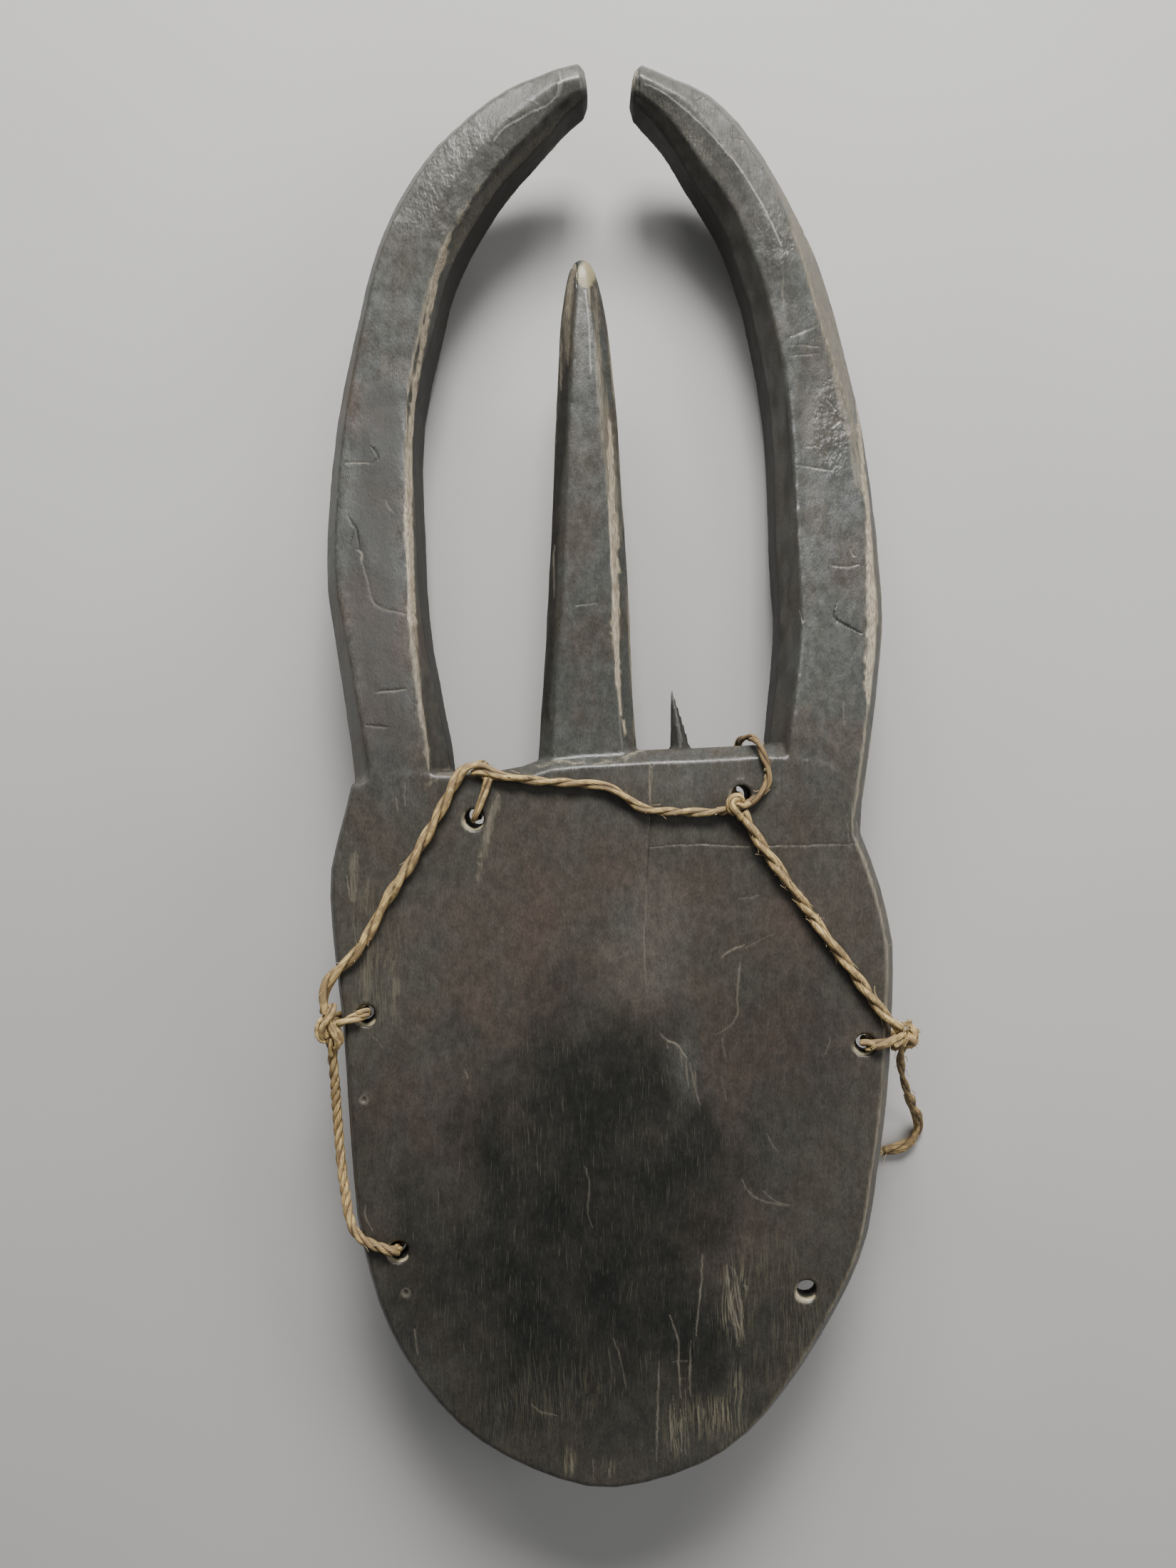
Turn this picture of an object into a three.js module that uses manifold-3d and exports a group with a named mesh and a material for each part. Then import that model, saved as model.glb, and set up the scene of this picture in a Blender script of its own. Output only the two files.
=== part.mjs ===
// Carved wooden face mask with two big curved horns, a straight middle horn and a laced fibre cord.
// Millimetres. The mask lies face down: z = 0 is the floor and its flat back faces up.
// X runs across the mask and Y from the chin to the tips of the horns.

import * as THREE from "three";
import { mergeVertices } from "three/addons/utils/BufferGeometryUtils.js";
import Module from "manifold-3d";

const wasm = await Module();
wasm.setup();

// Driving dimensions of the board, which is the face seen from behind
const BACK_Z = 66; // flat back over the floor
const RIM_THICK = 12; // board at its sides and chin
const CROWN_THICK = 24; // board at its top edge, between the horns
const CROWN_FROM_Y = -60; // the thickening towards the crown starts here
const DOME_RISE = 26; // swelling of the face over the rim
const DOME_REACH = 0.86; // share of the way out to the edge where the swelling ends
const DOME_POWER = 0.75; // lower is a fuller swelling
const DISH_DEPTH = 3.5; // hollow of the back
const DISH_FROM = 0.84; // share of the way out where the hollow starts
const DISH_FLOOR = 0.34; // share of the way out where the hollow's flat floor ends
const DISH_RINGS = [DISH_FLOOR, 0.5, 0.62, 0.74, DISH_FROM];
const FACE_RINGS = [0.98, 0.92, DOME_REACH, 0.8, 0.72, 0.62, 0.51, 0.4, 0.29, 0.18, 0.08];
const FACE_EDGE_ROUND = 2; // the rim is this much thinner at its very edge
const BOARD_MIDDLE = [8, -140]; // plan point that its rings shrink to
const BOARD_REACH = [122, 165]; // from its middle to its sides and ends
const MASK_MIDDLE = [8.09, 6.69]; // plan point under the middle of the whole mask
const FACE_X = 8; // the face is centred here
const EDGE_POINTS = 76;

// Plan points of the board's edge, from the notch under the left horn round by the chin
const BOARD_EDGE = [
  [-104, 0],
  [-107, -13],
  [-113, -38],
  [-113.2, -52],
  [-111, -77],
  [-107.5, -107],
  [-103, -171],
  [-99.7, -199],
  [-84.6, -245],
  [-51.6, -285.5],
  [-4.4, -307.8],
  [21, -307.8],
  [59.7, -293],
  [89.6, -263],
  [120.7, -207.5],
  [128, -169],
  [132.1, -137],
  [134.6, -85.5],
  [134.6, -70.4],
  [127, -38.4],
  [120, -20.4],
  [121, 0],
  [108, 14],
  [76, 17.3],
  [52, 16],
  [25, 15],
  [-22, 11],
  [-31, 7],
  [-44, 5.4],
  [-62, 5.4],
  [-90, 6],
];

// Worn bevel round the back: how wide in plan and how far down, at the crown, right side and elsewhere
const CROWN_BEVEL = { width: 6, drop: 6 };
const RIGHT_BEVEL = { width: 4, drop: 5 };
const PLAIN_BEVEL = { width: 2, drop: 3 };
const CROWN_ZONE = { x: [-60, -24], y: [-26, -8] }; // the crown's bevel fades in over these
const RIGHT_ZONE = { x: [60, 110] };

// Soft mounds and hollows of the face: middle in plan, spread, and rise out of the face
const FACE_RELIEF = [
  { at: [FACE_X, -46], spread: [62, 38], rise: 15 },
  { at: [FACE_X - 50, -165], spread: [24, 44], rise: 5 },
  { at: [FACE_X + 50, -165], spread: [24, 44], rise: 5 },
  { at: [FACE_X - 36, -118], spread: [24, 20], rise: -7 },
  { at: [FACE_X + 36, -118], spread: [24, 20], rise: -7 },
  { at: [FACE_X, -226], spread: [34, 24], rise: 7 },
];

// Horns: plan points of the outer and inner edge, in pairs from the root inside the board to the tip
const LEFT_HORN = {
  outer: [
    [-99, -78],
    [-105, -16],
    [-104.3, 6.9],
    [-113.9, 64.3],
    [-118.5, 99.5],
    [-115.8, 160.3],
    [-103.6, 219.3],
    [-95.9, 246.7],
    [-84.9, 269.1],
    [-69.3, 289.2],
    [-47.9, 306.4],
    [-27.7, 316.6],
    [-4.6, 322.4],
  ],
  inner: [
    [-74, -78],
    [-63, -16],
    [-61.3, 5.6],
    [-73.8, 68.1],
    [-77.4, 105.4],
    [-79.7, 169.8],
    [-70, 215.1],
    [-63, 238.2],
    [-52.8, 257.1],
    [-38.1, 276.7],
    [-21.7, 291.6],
    [-9.9, 303.1],
    [-2.2, 307.2],
  ],
  outerBevel: [8, 8.5, 8.5, 6.5, 5.2, 5, 3.5, 3.5, 3.5, 3.5, 3.2, 2.6, 1.8],
  innerBevel: [8, 8, 8, 4, 3, 3, 4.5, 4.5, 4.5, 4.5, 4, 3, 2],
  ridgePlace: 0.6,
};
const RIGHT_HORN = {
  outer: [
    [116, -84],
    [119, -22],
    [122.2, 0.9],
    [131.4, 62.5],
    [131.6, 99.5],
    [126.4, 160.3],
    [116.4, 213],
    [107, 240.5],
    [91.4, 269.1],
    [76.5, 291.2],
    [58.2, 309.6],
    [39.3, 317.2],
    [24, 321.8],
  ],
  inner: [
    [90, -84],
    [79, -16],
    [81.2, 16.6],
    [87.6, 67.8],
    [86.6, 106],
    [85.2, 169.8],
    [76.9, 215.5],
    [70.2, 236.9],
    [61.3, 258.8],
    [47.6, 278.1],
    [36, 293.9],
    [26.4, 303.1],
    [20.8, 306.6],
  ],
  outerBevel: [4, 4, 4, 4, 4, 6, 12, 10, 6, 5, 4, 3, 2],
  innerBevel: [7, 7, 7, 7.3, 7.5, 7, 6.6, 6.2, 5.4, 4.6, 3.8, 2.8, 2],
  ridgePlace: 0.5,
};
const HORN_DROP = [7, 0, 0, 8, 13, 20, 21, 20, 19, 17, 14, 12, 10]; // horn's back below the board's back
const HORN_DEPTH = [12, 34, 42, 46, 47, 47, 43, 40, 38, 35, 31, 28, 24];
const HORN_ROOF = [0, 0, 0, 0, 0, 0, 0, 1, 2, 3, 3, 3, 2]; // ridge that splits the back near the tip
const HORN_RINGS = 34;
const OUTER_BEVEL_DROP = 1.2; // drop of a horn's bevels for each millimetre of their width
const INNER_BEVEL_DROP = 2;
const FRONT_BEVEL = { width: 0.24, drop: 0.21 }; // shares of the horn's width
const HORN_END = { bulge: 2.6, shrink: 0.35 }; // the cut end of a horn is rounded a little

// Middle horn: left edge x, right edge x, y, drop below the board's back, depth
const MIDDLE_HORN = [
  [-25, 25, -24, 8, 16],
  [-22.5, 22.8, 3.3, 4.5, 28],
  [-20.7, 20, 35.5, 6, 30],
  [-17.6, 18, 86, 7, 29],
  [-15.7, 15.4, 128, 8, 27],
  [-13.8, 11.7, 178, 9, 24],
  [-12.2, 8.1, 208.5, 10, 21],
  [-9.3, 3.9, 228, 11, 16],
  [-6, 0.8, 235.2, 13.5, 9],
];
const MIDDLE_HORN_RINGS = 22;
const MIDDLE_BEVEL = { width: 6.5, drop: 7, most: 0.33 };

// Small spike on the crown: x, y and half width, from its root to its tip
const SPIKE = [
  [44.5, -4, 6],
  [41.6, 16.5, 5],
  [39.8, 29, 2.9],
  [37.5, 43.2, 0.5],
];
const SPIKE_Z = BACK_Z - 18;

// Nose: y, half width at the face, half width of its ridge, and height of its ridge over the floor
const NOSE = [
  [-78, 5, 3, 24],
  [-96, 8, 4, 15],
  [-124, 10, 5, 7],
  [-152, 13, 6.5, -1],
  [-172, 17, 7.5, -1],
  [-181, 14, 6, 9],
];
const NOSE_ROOT_Z = 40; // inside the face

// Brow, eyes, mouth and cheek marks, which stand on the face or are cut into it
const BROW = {
  stations: 19, sides: 8, halfWidth: 66, y: -101, arch: 13, endDrop: 8, radius: 9, endShare: 0.4,
};
const EYE = { x: 35, y: -122, rise: 2, size: [19, 9, 9], slit: [27, 3, 8] };
const MOUTH = { y: -219, rise: 1, size: [25, 12, 10], slit: [34, 3.2, 8] };
const CHEEK_MARK = { count: 3, gap: 11, x: 66, y: -150, size: [28, 3, 8], tilt: 0.3 };
const FOREHEAD_BAND = { halfWidth: 6, fromY: -94, toY: -12, rise: 5, foot: 12 };
const FLOOR_CUT = { width: 800, length: 1000, depth: 50 };

// Lacing holes: plan point at the back, and how far the hole leans over its depth
const HOLE = { radius: 4.3, sides: 14, length: 60, middleDown: 25 };
const HOLES = [
  { at: [-49.8, -15.3], lean: [0, 0.05] },
  { at: [67, -5], lean: [0, 0] },
  { at: [-96.8, -100.9], lean: [-0.27, 0] },
  { at: [120.8, -113.7], lean: [0.27, 0] },
  { at: [-82.5, -204.3], lean: [-0.27, 0] },
  { at: [95.6, -221.4], lean: [0.08, 0] },
];

// Fibre cord: routes of its centre line, x, y and z, and its knots
const CORD = 5;
const SLIM_CORD = 4.4;
const THIN_CORD = 4.2;
const TWIN_CORD = 3.6;
const CORD_SIDES = 8;
const CORDS = [
  {
    name: "lower_left_cord",
    diameter: SLIM_CORD,
    steps: 14,
    route: [
      [-86, -204.4, 53],
      [-84.8, -204.3, 58],
      [-83.8, -204.1, 62.6],
      [-83.5, -203.7, 66.4],
      [-85.2, -202.9, 68.8],
      [-89.4, -201.5, 69.2],
      [-95.5, -199.2, 69],
      [-100.5, -195.8, 68.6],
      [-103.8, -190, 66.8],
      [-107, -178, 62.6],
      [-109.4, -165, 59.6],
      [-110.9, -150, 58.8],
      [-111.6, -136, 60],
      [-112.2, -122, 62.2],
      [-112.4, -113.5, 63.6],
    ],
  },
  {
    name: "main_cord",
    diameter: CORD,
    steps: 24,
    route: [
      [-115, -98.5, 67.6],
      [-114.6, -91, 68.4],
      [-111.5, -84, 69],
      [-106, -78.5, 69],
      [-100.5, -73, 69],
      [-95, -64.5, 69],
      [-90.5, -56, 69],
      [-85.5, -47.5, 69],
      [-80, -39, 69],
      [-74.8, -30.5, 69],
      [-69.8, -22, 69],
      [-65.2, -13.5, 69],
      [-61, -5.5, 69],
      [-57.5, 1.5, 69],
      [-54, 6.2, 69],
      [-50, 8, 69],
      [-46, 7.4, 69],
      [-42, 5.2, 69],
      [-37, 3.4, 69],
      [-31, 2.5, 69],
      [-25.5, 1.8, 69],
      [-16.5, 1, 69],
      [-7.5, 0.5, 69],
      [1.5, -0.2, 69],
      [8, -1.2, 69],
      [13, -3.4, 69],
      [18, -7, 69],
      [23, -10.2, 69],
      [30, -11.7, 69],
      [40.5, -12.2, 69],
      [50, -12.4, 69],
      [58, -11.8, 69],
    ],
  },
  {
    name: "right_cord",
    diameter: CORD,
    steps: 11,
    route: [
      [67.6, -13.6, 69.2],
      [70.4, -18.6, 69],
      [75, -26, 69],
      [80.5, -33.6, 69],
      [86.5, -42, 69],
      [93.5, -52, 69],
      [101, -62.8, 69],
      [109.3, -74, 69],
      [117.5, -85, 69],
      [125.6, -96.3, 69],
      [131, -102.4, 69],
      [134.8, -105.6, 68.4],
    ],
  },
  {
    name: "tail_cord",
    diameter: CORD,
    steps: 10,
    route: [
      [139.2, -115.6, 61.5],
      [139.8, -120.5, 55],
      [142, -127.5, 46],
      [146, -136.5, 35.5],
      [151, -146, 25],
      [156.2, -155, 14.5],
      [160.6, -162.6, 6.4],
      [161.8, -169.5, 3],
      [158.4, -175, 2.8],
      [152, -178.4, 2.8],
      [144.5, -180, 2.8],
    ],
  },
  {
    name: "left_ring_cord",
    diameter: THIN_CORD,
    steps: 9,
    route: [
      [-107.2, -103.6, 68.9],
      [-103.6, -102.2, 69],
      [-99.8, -101.2, 68.4],
      [-97.5, -100.9, 64.6],
      [-98.4, -100.9, 58],
      [-100.4, -101, 52.8],
      [-104.4, -101.6, 50.6],
      [-109, -102.6, 51.4],
      [-112, -103.8, 55],
      [-112.8, -104.8, 60.6],
    ],
  },
  {
    name: "right_ring_cord",
    diameter: THIN_CORD,
    steps: 9,
    route: [
      [133, -111, 69],
      [128.8, -112.2, 69.2],
      [124.2, -113.2, 68.6],
      [121.6, -113.7, 64.6],
      [122.6, -113.7, 58],
      [124.8, -113.5, 52.8],
      [129, -113, 50.8],
      [134.4, -112.3, 51.8],
      [138, -111.2, 55.2],
      [139.2, -110.2, 59.8],
    ],
  },
  {
    name: "upper_right_ring_cord",
    diameter: THIN_CORD,
    steps: 16,
    route: [
      [69.4, -8.6, 69],
      [73, -6.2, 68.7],
      [76.4, -2.6, 68.6],
      [78.4, 2, 68.6],
      [78.2, 7, 68.6],
      [76.6, 11.6, 68.4],
      [74.8, 16.6, 67],
      [72.9, 19.9, 63],
      [71.2, 20.6, 56],
      [69.8, 20.4, 48],
      [69, 19, 40.4],
      [68.4, 13.4, 37],
      [67.8, 5.6, 36.6],
      [67.2, -1.8, 37],
      [67, -5.3, 43],
      [67, -5, 54],
      [66.6, -5.4, 63.6],
    ],
  },
  {
    name: "upper_left_ring_cord",
    diameter: TWIN_CORD,
    steps: 12,
    route: [
      [-43.6, 1, 68.4],
      [-45, -3.4, 68.1],
      [-47, -9, 68.5],
      [-49.4, -14.2, 67],
      [-50, -15.6, 61],
      [-49.8, -14.8, 52],
      [-49.4, -14, 42.6],
      [-48.8, -10, 36.8],
      [-48, -2.6, 36.8],
      [-47.4, 4.6, 38.4],
      [-47, 8.8, 43.4],
      [-47, 9.4, 52],
      [-47.2, 9, 60],
      [-47.6, 8.4, 65.2],
    ],
  },
];
const KNOT_SIDES = 8;
const KNOTS = [
  { name: "left_knot", at: [-113.6, -106, 67.2], size: [5.4, 6.6, 4.4] },
  { name: "right_knot", at: [139, -109.6, 65.6], size: [5.2, 5.4, 4.8] },
  { name: "upper_right_knot", at: [64, -9.4, 69.9], size: [4.8, 4.6, 3.6] },
  { name: "stopper_knot", at: [-86.4, -204.6, 48.2], size: [5.6, 5.6, 4] },
];

const darkWood = new THREE.MeshStandardMaterial({ color: 0x3d332d, roughness: 0.5, metalness: 0 });
const fibre = new THREE.MeshStandardMaterial({ color: 0xb08c58, roughness: 0.9, metalness: 0 });

// Joining and cutting

function solidOf(geometry) {
  const bare = geometry.clone();
  bare.deleteAttribute("normal");
  bare.deleteAttribute("uv");
  const merged = mergeVertices(bare, 1e-4);
  return new wasm.Manifold(
    new wasm.Mesh({
      numProp: 3,
      vertProperties: new Float32Array(merged.attributes.position.array),
      triVerts: new Uint32Array(merged.index.array),
    }),
  );
}

function geometryOf(solid) {
  const mesh = solid.getMesh();
  const indexed = new THREE.BufferGeometry();
  indexed.setAttribute("position", new THREE.BufferAttribute(mesh.vertProperties, 3));
  indexed.setIndex(new THREE.BufferAttribute(mesh.triVerts, 1));
  const flat = indexed.toNonIndexed();
  flat.computeVertexNormals();
  return flat;
}

function middleOf(ring) {
  return ring.reduce((sum, p) => sum.add(p), new THREE.Vector3()).divideScalar(ring.length);
}

// A closed skin over rings of points, each ring with the same count, closed by a fan at both ends
function skinOver(rings) {
  const count = rings[0].length;
  const points = rings.flat();
  const firstMiddle = points.length;
  const lastRing = firstMiddle - count;
  const faces = [];
  for (let j = 0; j < count; j++) {
    const k = (j + 1) % count;
    faces.push([firstMiddle, k, j], [firstMiddle + 1, lastRing + j, lastRing + k]);
    for (let i = 0; i < lastRing; i += count) {
      faces.push([i + j, i + k, i + count + j], [i + k, i + count + k, i + count + j]);
    }
  }
  points.push(middleOf(rings[0]), middleOf(rings.at(-1)));
  const volume = faces.reduce(
    (sum, [a, b, c]) => sum + points[a].dot(points[b].clone().cross(points[c])),
    0,
  );
  const outward = volume < 0 ? faces.map(([a, b, c]) => [a, c, b]) : faces;
  const geometry = new THREE.BufferGeometry().setFromPoints(points);
  geometry.setIndex(outward.flat());
  return geometry;
}

function smoothstep(from, to, value) {
  return THREE.MathUtils.smoothstep(value, from, to);
}

// Values between rows of numbers, on a smooth curve through the rows
function rowsBetween(rows, count) {
  const columns = rows[0].map((_, column) => {
    const curve = new THREE.SplineCurve(rows.map((row, i) => new THREE.Vector2(i, row[column])));
    return Array.from({ length: count }, (_, i) => curve.getPoint(i / (count - 1)).y);
  });
  return columns[0].map((_, i) => columns.map((column) => column[i]));
}

// The board

function rimThickness(y) {
  return RIM_THICK + (CROWN_THICK - RIM_THICK) * smoothstep(CROWN_FROM_Y, 0, y);
}

function faceThickness(share, x, y) {
  const inner = Math.min(1, share / DOME_REACH);
  const dome = DOME_RISE * (1 - inner ** 2) ** DOME_POWER;
  const relief = FACE_RELIEF.reduce((sum, { at, spread, rise }) => {
    const far = ((x - at[0]) / spread[0]) ** 2 + ((y - at[1]) / spread[1]) ** 2;
    return sum + rise * Math.exp(-far);
  }, 0);
  return rimThickness(y) + dome + relief;
}

// Height of the face over the floor, close to a plan point, to set the brow, eyes and mouth on
function faceZ(x, y) {
  const share = Math.hypot((x - BOARD_MIDDLE[0]) / BOARD_REACH[0], (y - BOARD_MIDDLE[1]) / BOARD_REACH[1]);
  return BACK_Z - faceThickness(share, x, y);
}

function bevelAt(x, y) {
  const crown = smoothstep(...CROWN_ZONE.y, y) * smoothstep(...CROWN_ZONE.x, x);
  const right = smoothstep(...RIGHT_ZONE.x, x) * (1 - crown);
  const plain = 1 - crown - right;
  const mix = (key) => crown * CROWN_BEVEL[key] + right * RIGHT_BEVEL[key] + plain * PLAIN_BEVEL[key];
  return { width: mix("width"), drop: mix("drop") };
}

function boardSolid() {
  const corners = BOARD_EDGE.map(([x, y]) => new THREE.Vector3(x, y, 0));
  const curve = new THREE.CatmullRomCurve3(corners, true, "centripetal");
  const edge = curve.getSpacedPoints(EDGE_POINTS).slice(0, EDGE_POINTS);
  const middle = new THREE.Vector3(...BOARD_MIDDLE, 0);
  const ringAt = (share, height) =>
    edge.map((p) => {
      const q = middle.clone().lerp(p, share);
      return q.setZ(height(q.x, q.y));
    });
  const dishAt = (share) => {
    const depth = DISH_DEPTH * (1 - smoothstep(DISH_FLOOR, DISH_FROM, share));
    return ringAt(share, () => BACK_Z - depth);
  };
  const bevelTop = edge.map((p, i) => {
    const along = edge[(i + 1) % EDGE_POINTS].clone().sub(edge.at(i - 1)).normalize();
    const { width } = bevelAt(p.x, p.y);
    return new THREE.Vector3(p.x - along.y * width, p.y + along.x * width, BACK_Z);
  });
  const frontAt = (share) => ringAt(share, (x, y) => BACK_Z - faceThickness(share, x, y));
  return solidOf(
    skinOver([
      ...DISH_RINGS.map(dishAt),
      bevelTop,
      ringAt(1, (x, y) => BACK_Z - bevelAt(x, y).drop),
      ringAt(1, (x, y) => BACK_Z - faceThickness(1, x, y) + FACE_EDGE_ROUND),
      ...FACE_RINGS.map(frontAt),
    ]),
  );
}

// The horns

// The rounded end beyond the last of some rings
function endRing(rings) {
  const middle = middleOf(rings.at(-1));
  const onward = middle.clone().sub(middleOf(rings.at(-2))).setLength(HORN_END.bulge);
  return rings.at(-1).map((p) => p.clone().lerp(middle, HORN_END.shrink).add(onward));
}

function hornSolid({ outer, inner, outerBevel, innerBevel, ridgePlace }) {
  const rows = outer.map((p, i) => [
    ...p,
    ...inner[i],
    HORN_DROP[i],
    HORN_DEPTH[i],
    HORN_ROOF[i],
    outerBevel[i],
    innerBevel[i],
  ]);
  const rings = rowsBetween(rows, HORN_RINGS).map((row) => {
    const [ox, oy, ix, iy, drop, depth, roof, outerWidth, innerFromEdge] = row;
    const width = Math.hypot(ix - ox, iy - oy);
    const top = BACK_Z - Math.max(0, drop);
    const at = (across, down) =>
      new THREE.Vector3(
        ox + ((ix - ox) * across) / width,
        oy + ((iy - oy) * across) / width,
        top - down,
      );
    const innerWidth = width - innerFromEdge;
    const frontWidth = FRONT_BEVEL.width * width;
    const frontDown = depth - FRONT_BEVEL.drop * width;
    return [
      at(outerWidth, 0),
      at(outerWidth + (innerWidth - outerWidth) * ridgePlace, -roof),
      at(innerWidth, 0),
      at(width, INNER_BEVEL_DROP * innerFromEdge),
      at(width, frontDown),
      at(width - frontWidth, depth),
      at(frontWidth, depth),
      at(0, frontDown),
      at(0, OUTER_BEVEL_DROP * outerWidth),
    ];
  });
  return solidOf(skinOver([...rings, endRing(rings)]));
}

function middleHornSolid() {
  const rings = rowsBetween(MIDDLE_HORN, MIDDLE_HORN_RINGS).map(([left, right, y, drop, depth]) => {
    const bevel = Math.min(MIDDLE_BEVEL.width, MIDDLE_BEVEL.most * (right - left));
    const down = Math.min(MIDDLE_BEVEL.drop, MIDDLE_BEVEL.most * depth);
    const top = BACK_Z - drop;
    const corners = [
      [left + bevel, top],
      [right - bevel, top],
      [right, top - down],
      [right, top - depth + down],
      [right - bevel, top - depth],
      [left + bevel, top - depth],
      [left, top - depth + down],
      [left, top - down],
    ];
    return corners.map(([x, z]) => new THREE.Vector3(x, y, z));
  });
  return solidOf(skinOver(rings));
}

function spikeSolid() {
  const rings = SPIKE.map(([x, y, half]) => [
    new THREE.Vector3(x + half, y, SPIKE_Z),
    new THREE.Vector3(x, y, SPIKE_Z + half),
    new THREE.Vector3(x - half, y, SPIKE_Z),
    new THREE.Vector3(x, y, SPIKE_Z - half),
  ]);
  return solidOf(skinOver(rings));
}

// The face, which lies downwards

function noseSolid() {
  const rings = NOSE.map(([y, foot, ridge, z]) => [
    new THREE.Vector3(FACE_X - foot, y, NOSE_ROOT_Z),
    new THREE.Vector3(FACE_X + foot, y, NOSE_ROOT_Z),
    new THREE.Vector3(FACE_X + ridge, y, z),
    new THREE.Vector3(FACE_X - ridge, y, z),
  ]);
  return solidOf(skinOver(rings));
}

// Two arches that meet over the nose and thin out to the sides
function browSolid() {
  const { stations, sides, halfWidth, arch, endDrop, endShare } = BROW;
  const rings = Array.from({ length: stations }, (_, i) => {
    const across = (2 * i) / (stations - 1) - 1;
    const x = FACE_X + across * halfWidth;
    const y = BROW.y + arch * Math.sin(Math.PI * Math.abs(across)) - endDrop * across ** 4;
    const radius = BROW.radius * (1 - (1 - endShare) * across ** 4);
    const z = faceZ(x, y);
    return Array.from({ length: sides }, (_, k) => {
      const angle = (2 * Math.PI * k) / sides;
      return new THREE.Vector3(x, y + radius * Math.cos(angle), z + radius * Math.sin(angle));
    });
  });
  return solidOf(skinOver(rings));
}

function foreheadBand() {
  const { halfWidth, fromY, toY, rise, foot } = FOREHEAD_BAND;
  const rings = [fromY, (fromY + toY) / 2, toY].map((y) => {
    const z = faceZ(FACE_X, y);
    return [
      new THREE.Vector3(FACE_X - halfWidth, y, z + foot),
      new THREE.Vector3(FACE_X + halfWidth, y, z + foot),
      new THREE.Vector3(FACE_X + halfWidth / 2, y, z - rise),
      new THREE.Vector3(FACE_X - halfWidth / 2, y, z - rise),
    ];
  });
  return solidOf(skinOver(rings));
}

function mound([width, height, depth], x, y, z) {
  const geometry = new THREE.SphereGeometry(1, 16, 10);
  geometry.scale(width, height, depth);
  geometry.translate(x, y, z);
  return solidOf(geometry);
}

function slot([length, width, depth], x, y, z, tilt = 0) {
  const geometry = new THREE.BoxGeometry(length, width, depth);
  geometry.rotateZ(tilt);
  geometry.translate(x, y, z);
  return solidOf(geometry);
}

// A mound on the face, split by a slot along its top: an eye or the mouth
function addSplitMound(face, { size, slit, rise }, x, y) {
  const z = faceZ(x, y) - rise;
  return face.add(mound(size, x, y, z)).subtract(slot(slit, x, y, z - size[2]));
}

function addFace(board) {
  let face = board.add(noseSolid()).add(browSolid()).add(foreheadBand());
  face = addSplitMound(face, MOUTH, FACE_X, MOUTH.y);
  for (const side of [-1, 1]) {
    face = addSplitMound(face, EYE, FACE_X + side * EYE.x, EYE.y);
    for (let i = 0; i < CHEEK_MARK.count; i++) {
      const x = FACE_X + side * CHEEK_MARK.x;
      const y = CHEEK_MARK.y - i * CHEEK_MARK.gap;
      face = face.subtract(slot(CHEEK_MARK.size, x, y, faceZ(x, y), side * CHEEK_MARK.tilt));
    }
  }
  return face;
}

function holeSolid({ at, lean }) {
  const { radius, sides, length, middleDown } = HOLE;
  const geometry = new THREE.CylinderGeometry(radius, radius, length, sides);
  const down = new THREE.Vector3(lean[0], lean[1], -1).normalize();
  const turn = new THREE.Quaternion().setFromUnitVectors(new THREE.Vector3(0, -1, 0), down);
  const middle = new THREE.Vector3(...at, BACK_Z).addScaledVector(down, middleDown);
  geometry.applyQuaternion(turn);
  geometry.translate(...middle.toArray());
  return solidOf(geometry);
}

// All that would reach under the floor is cut away, which leaves the flats that the mask lies on
function floorBlock() {
  const { width, length, depth } = FLOOR_CUT;
  const geometry = new THREE.BoxGeometry(width, length, depth);
  geometry.translate(0, 0, -depth / 2);
  return solidOf(geometry);
}

function maskGeometry() {
  let mask = addFace(boardSolid());
  mask = mask.add(hornSolid(LEFT_HORN)).add(hornSolid(RIGHT_HORN));
  mask = mask.add(middleHornSolid()).add(spikeSolid());
  for (const hole of HOLES) {
    mask = mask.subtract(holeSolid(hole));
  }
  return geometryOf(mask.subtract(floorBlock()));
}

// The cord and its knots

function cordGeometry({ diameter, steps, route }) {
  const section = new THREE.Shape(
    Array.from({ length: CORD_SIDES }, (_, i) => {
      const angle = (2 * Math.PI * i) / CORD_SIDES;
      return new THREE.Vector2(Math.cos(angle), Math.sin(angle)).multiplyScalar(diameter / 2);
    }),
  );
  const points = route.map((p) => new THREE.Vector3(...p));
  const path = new THREE.CatmullRomCurve3(points, false, "centripetal");
  return new THREE.ExtrudeGeometry(section, { steps, extrudePath: path, bevelEnabled: false });
}

const group = new THREE.Group();
group.position.set(-MASK_MIDDLE[0], -MASK_MIDDLE[1], 0);

function addPiece(name, geometry, material) {
  const mesh = new THREE.Mesh(geometry, material);
  mesh.name = name;
  group.add(mesh);
  return mesh;
}

addPiece("mask", maskGeometry(), darkWood);
for (const cord of CORDS) {
  addPiece(cord.name, cordGeometry(cord), fibre);
}
for (const { name, at, size } of KNOTS) {
  const knot = addPiece(name, new THREE.SphereGeometry(1, KNOT_SIDES, KNOT_SIDES / 2 + 1), fibre);
  knot.scale.set(...size);
  knot.position.set(...at);
}

export default group;
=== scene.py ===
"""The looks of a carved and horned wooden mask that lies face down, laced with twisted fibre cord."""

# Lengths are metres in the CAD model's frame, unless a name or a comment says millimetres.

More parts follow.
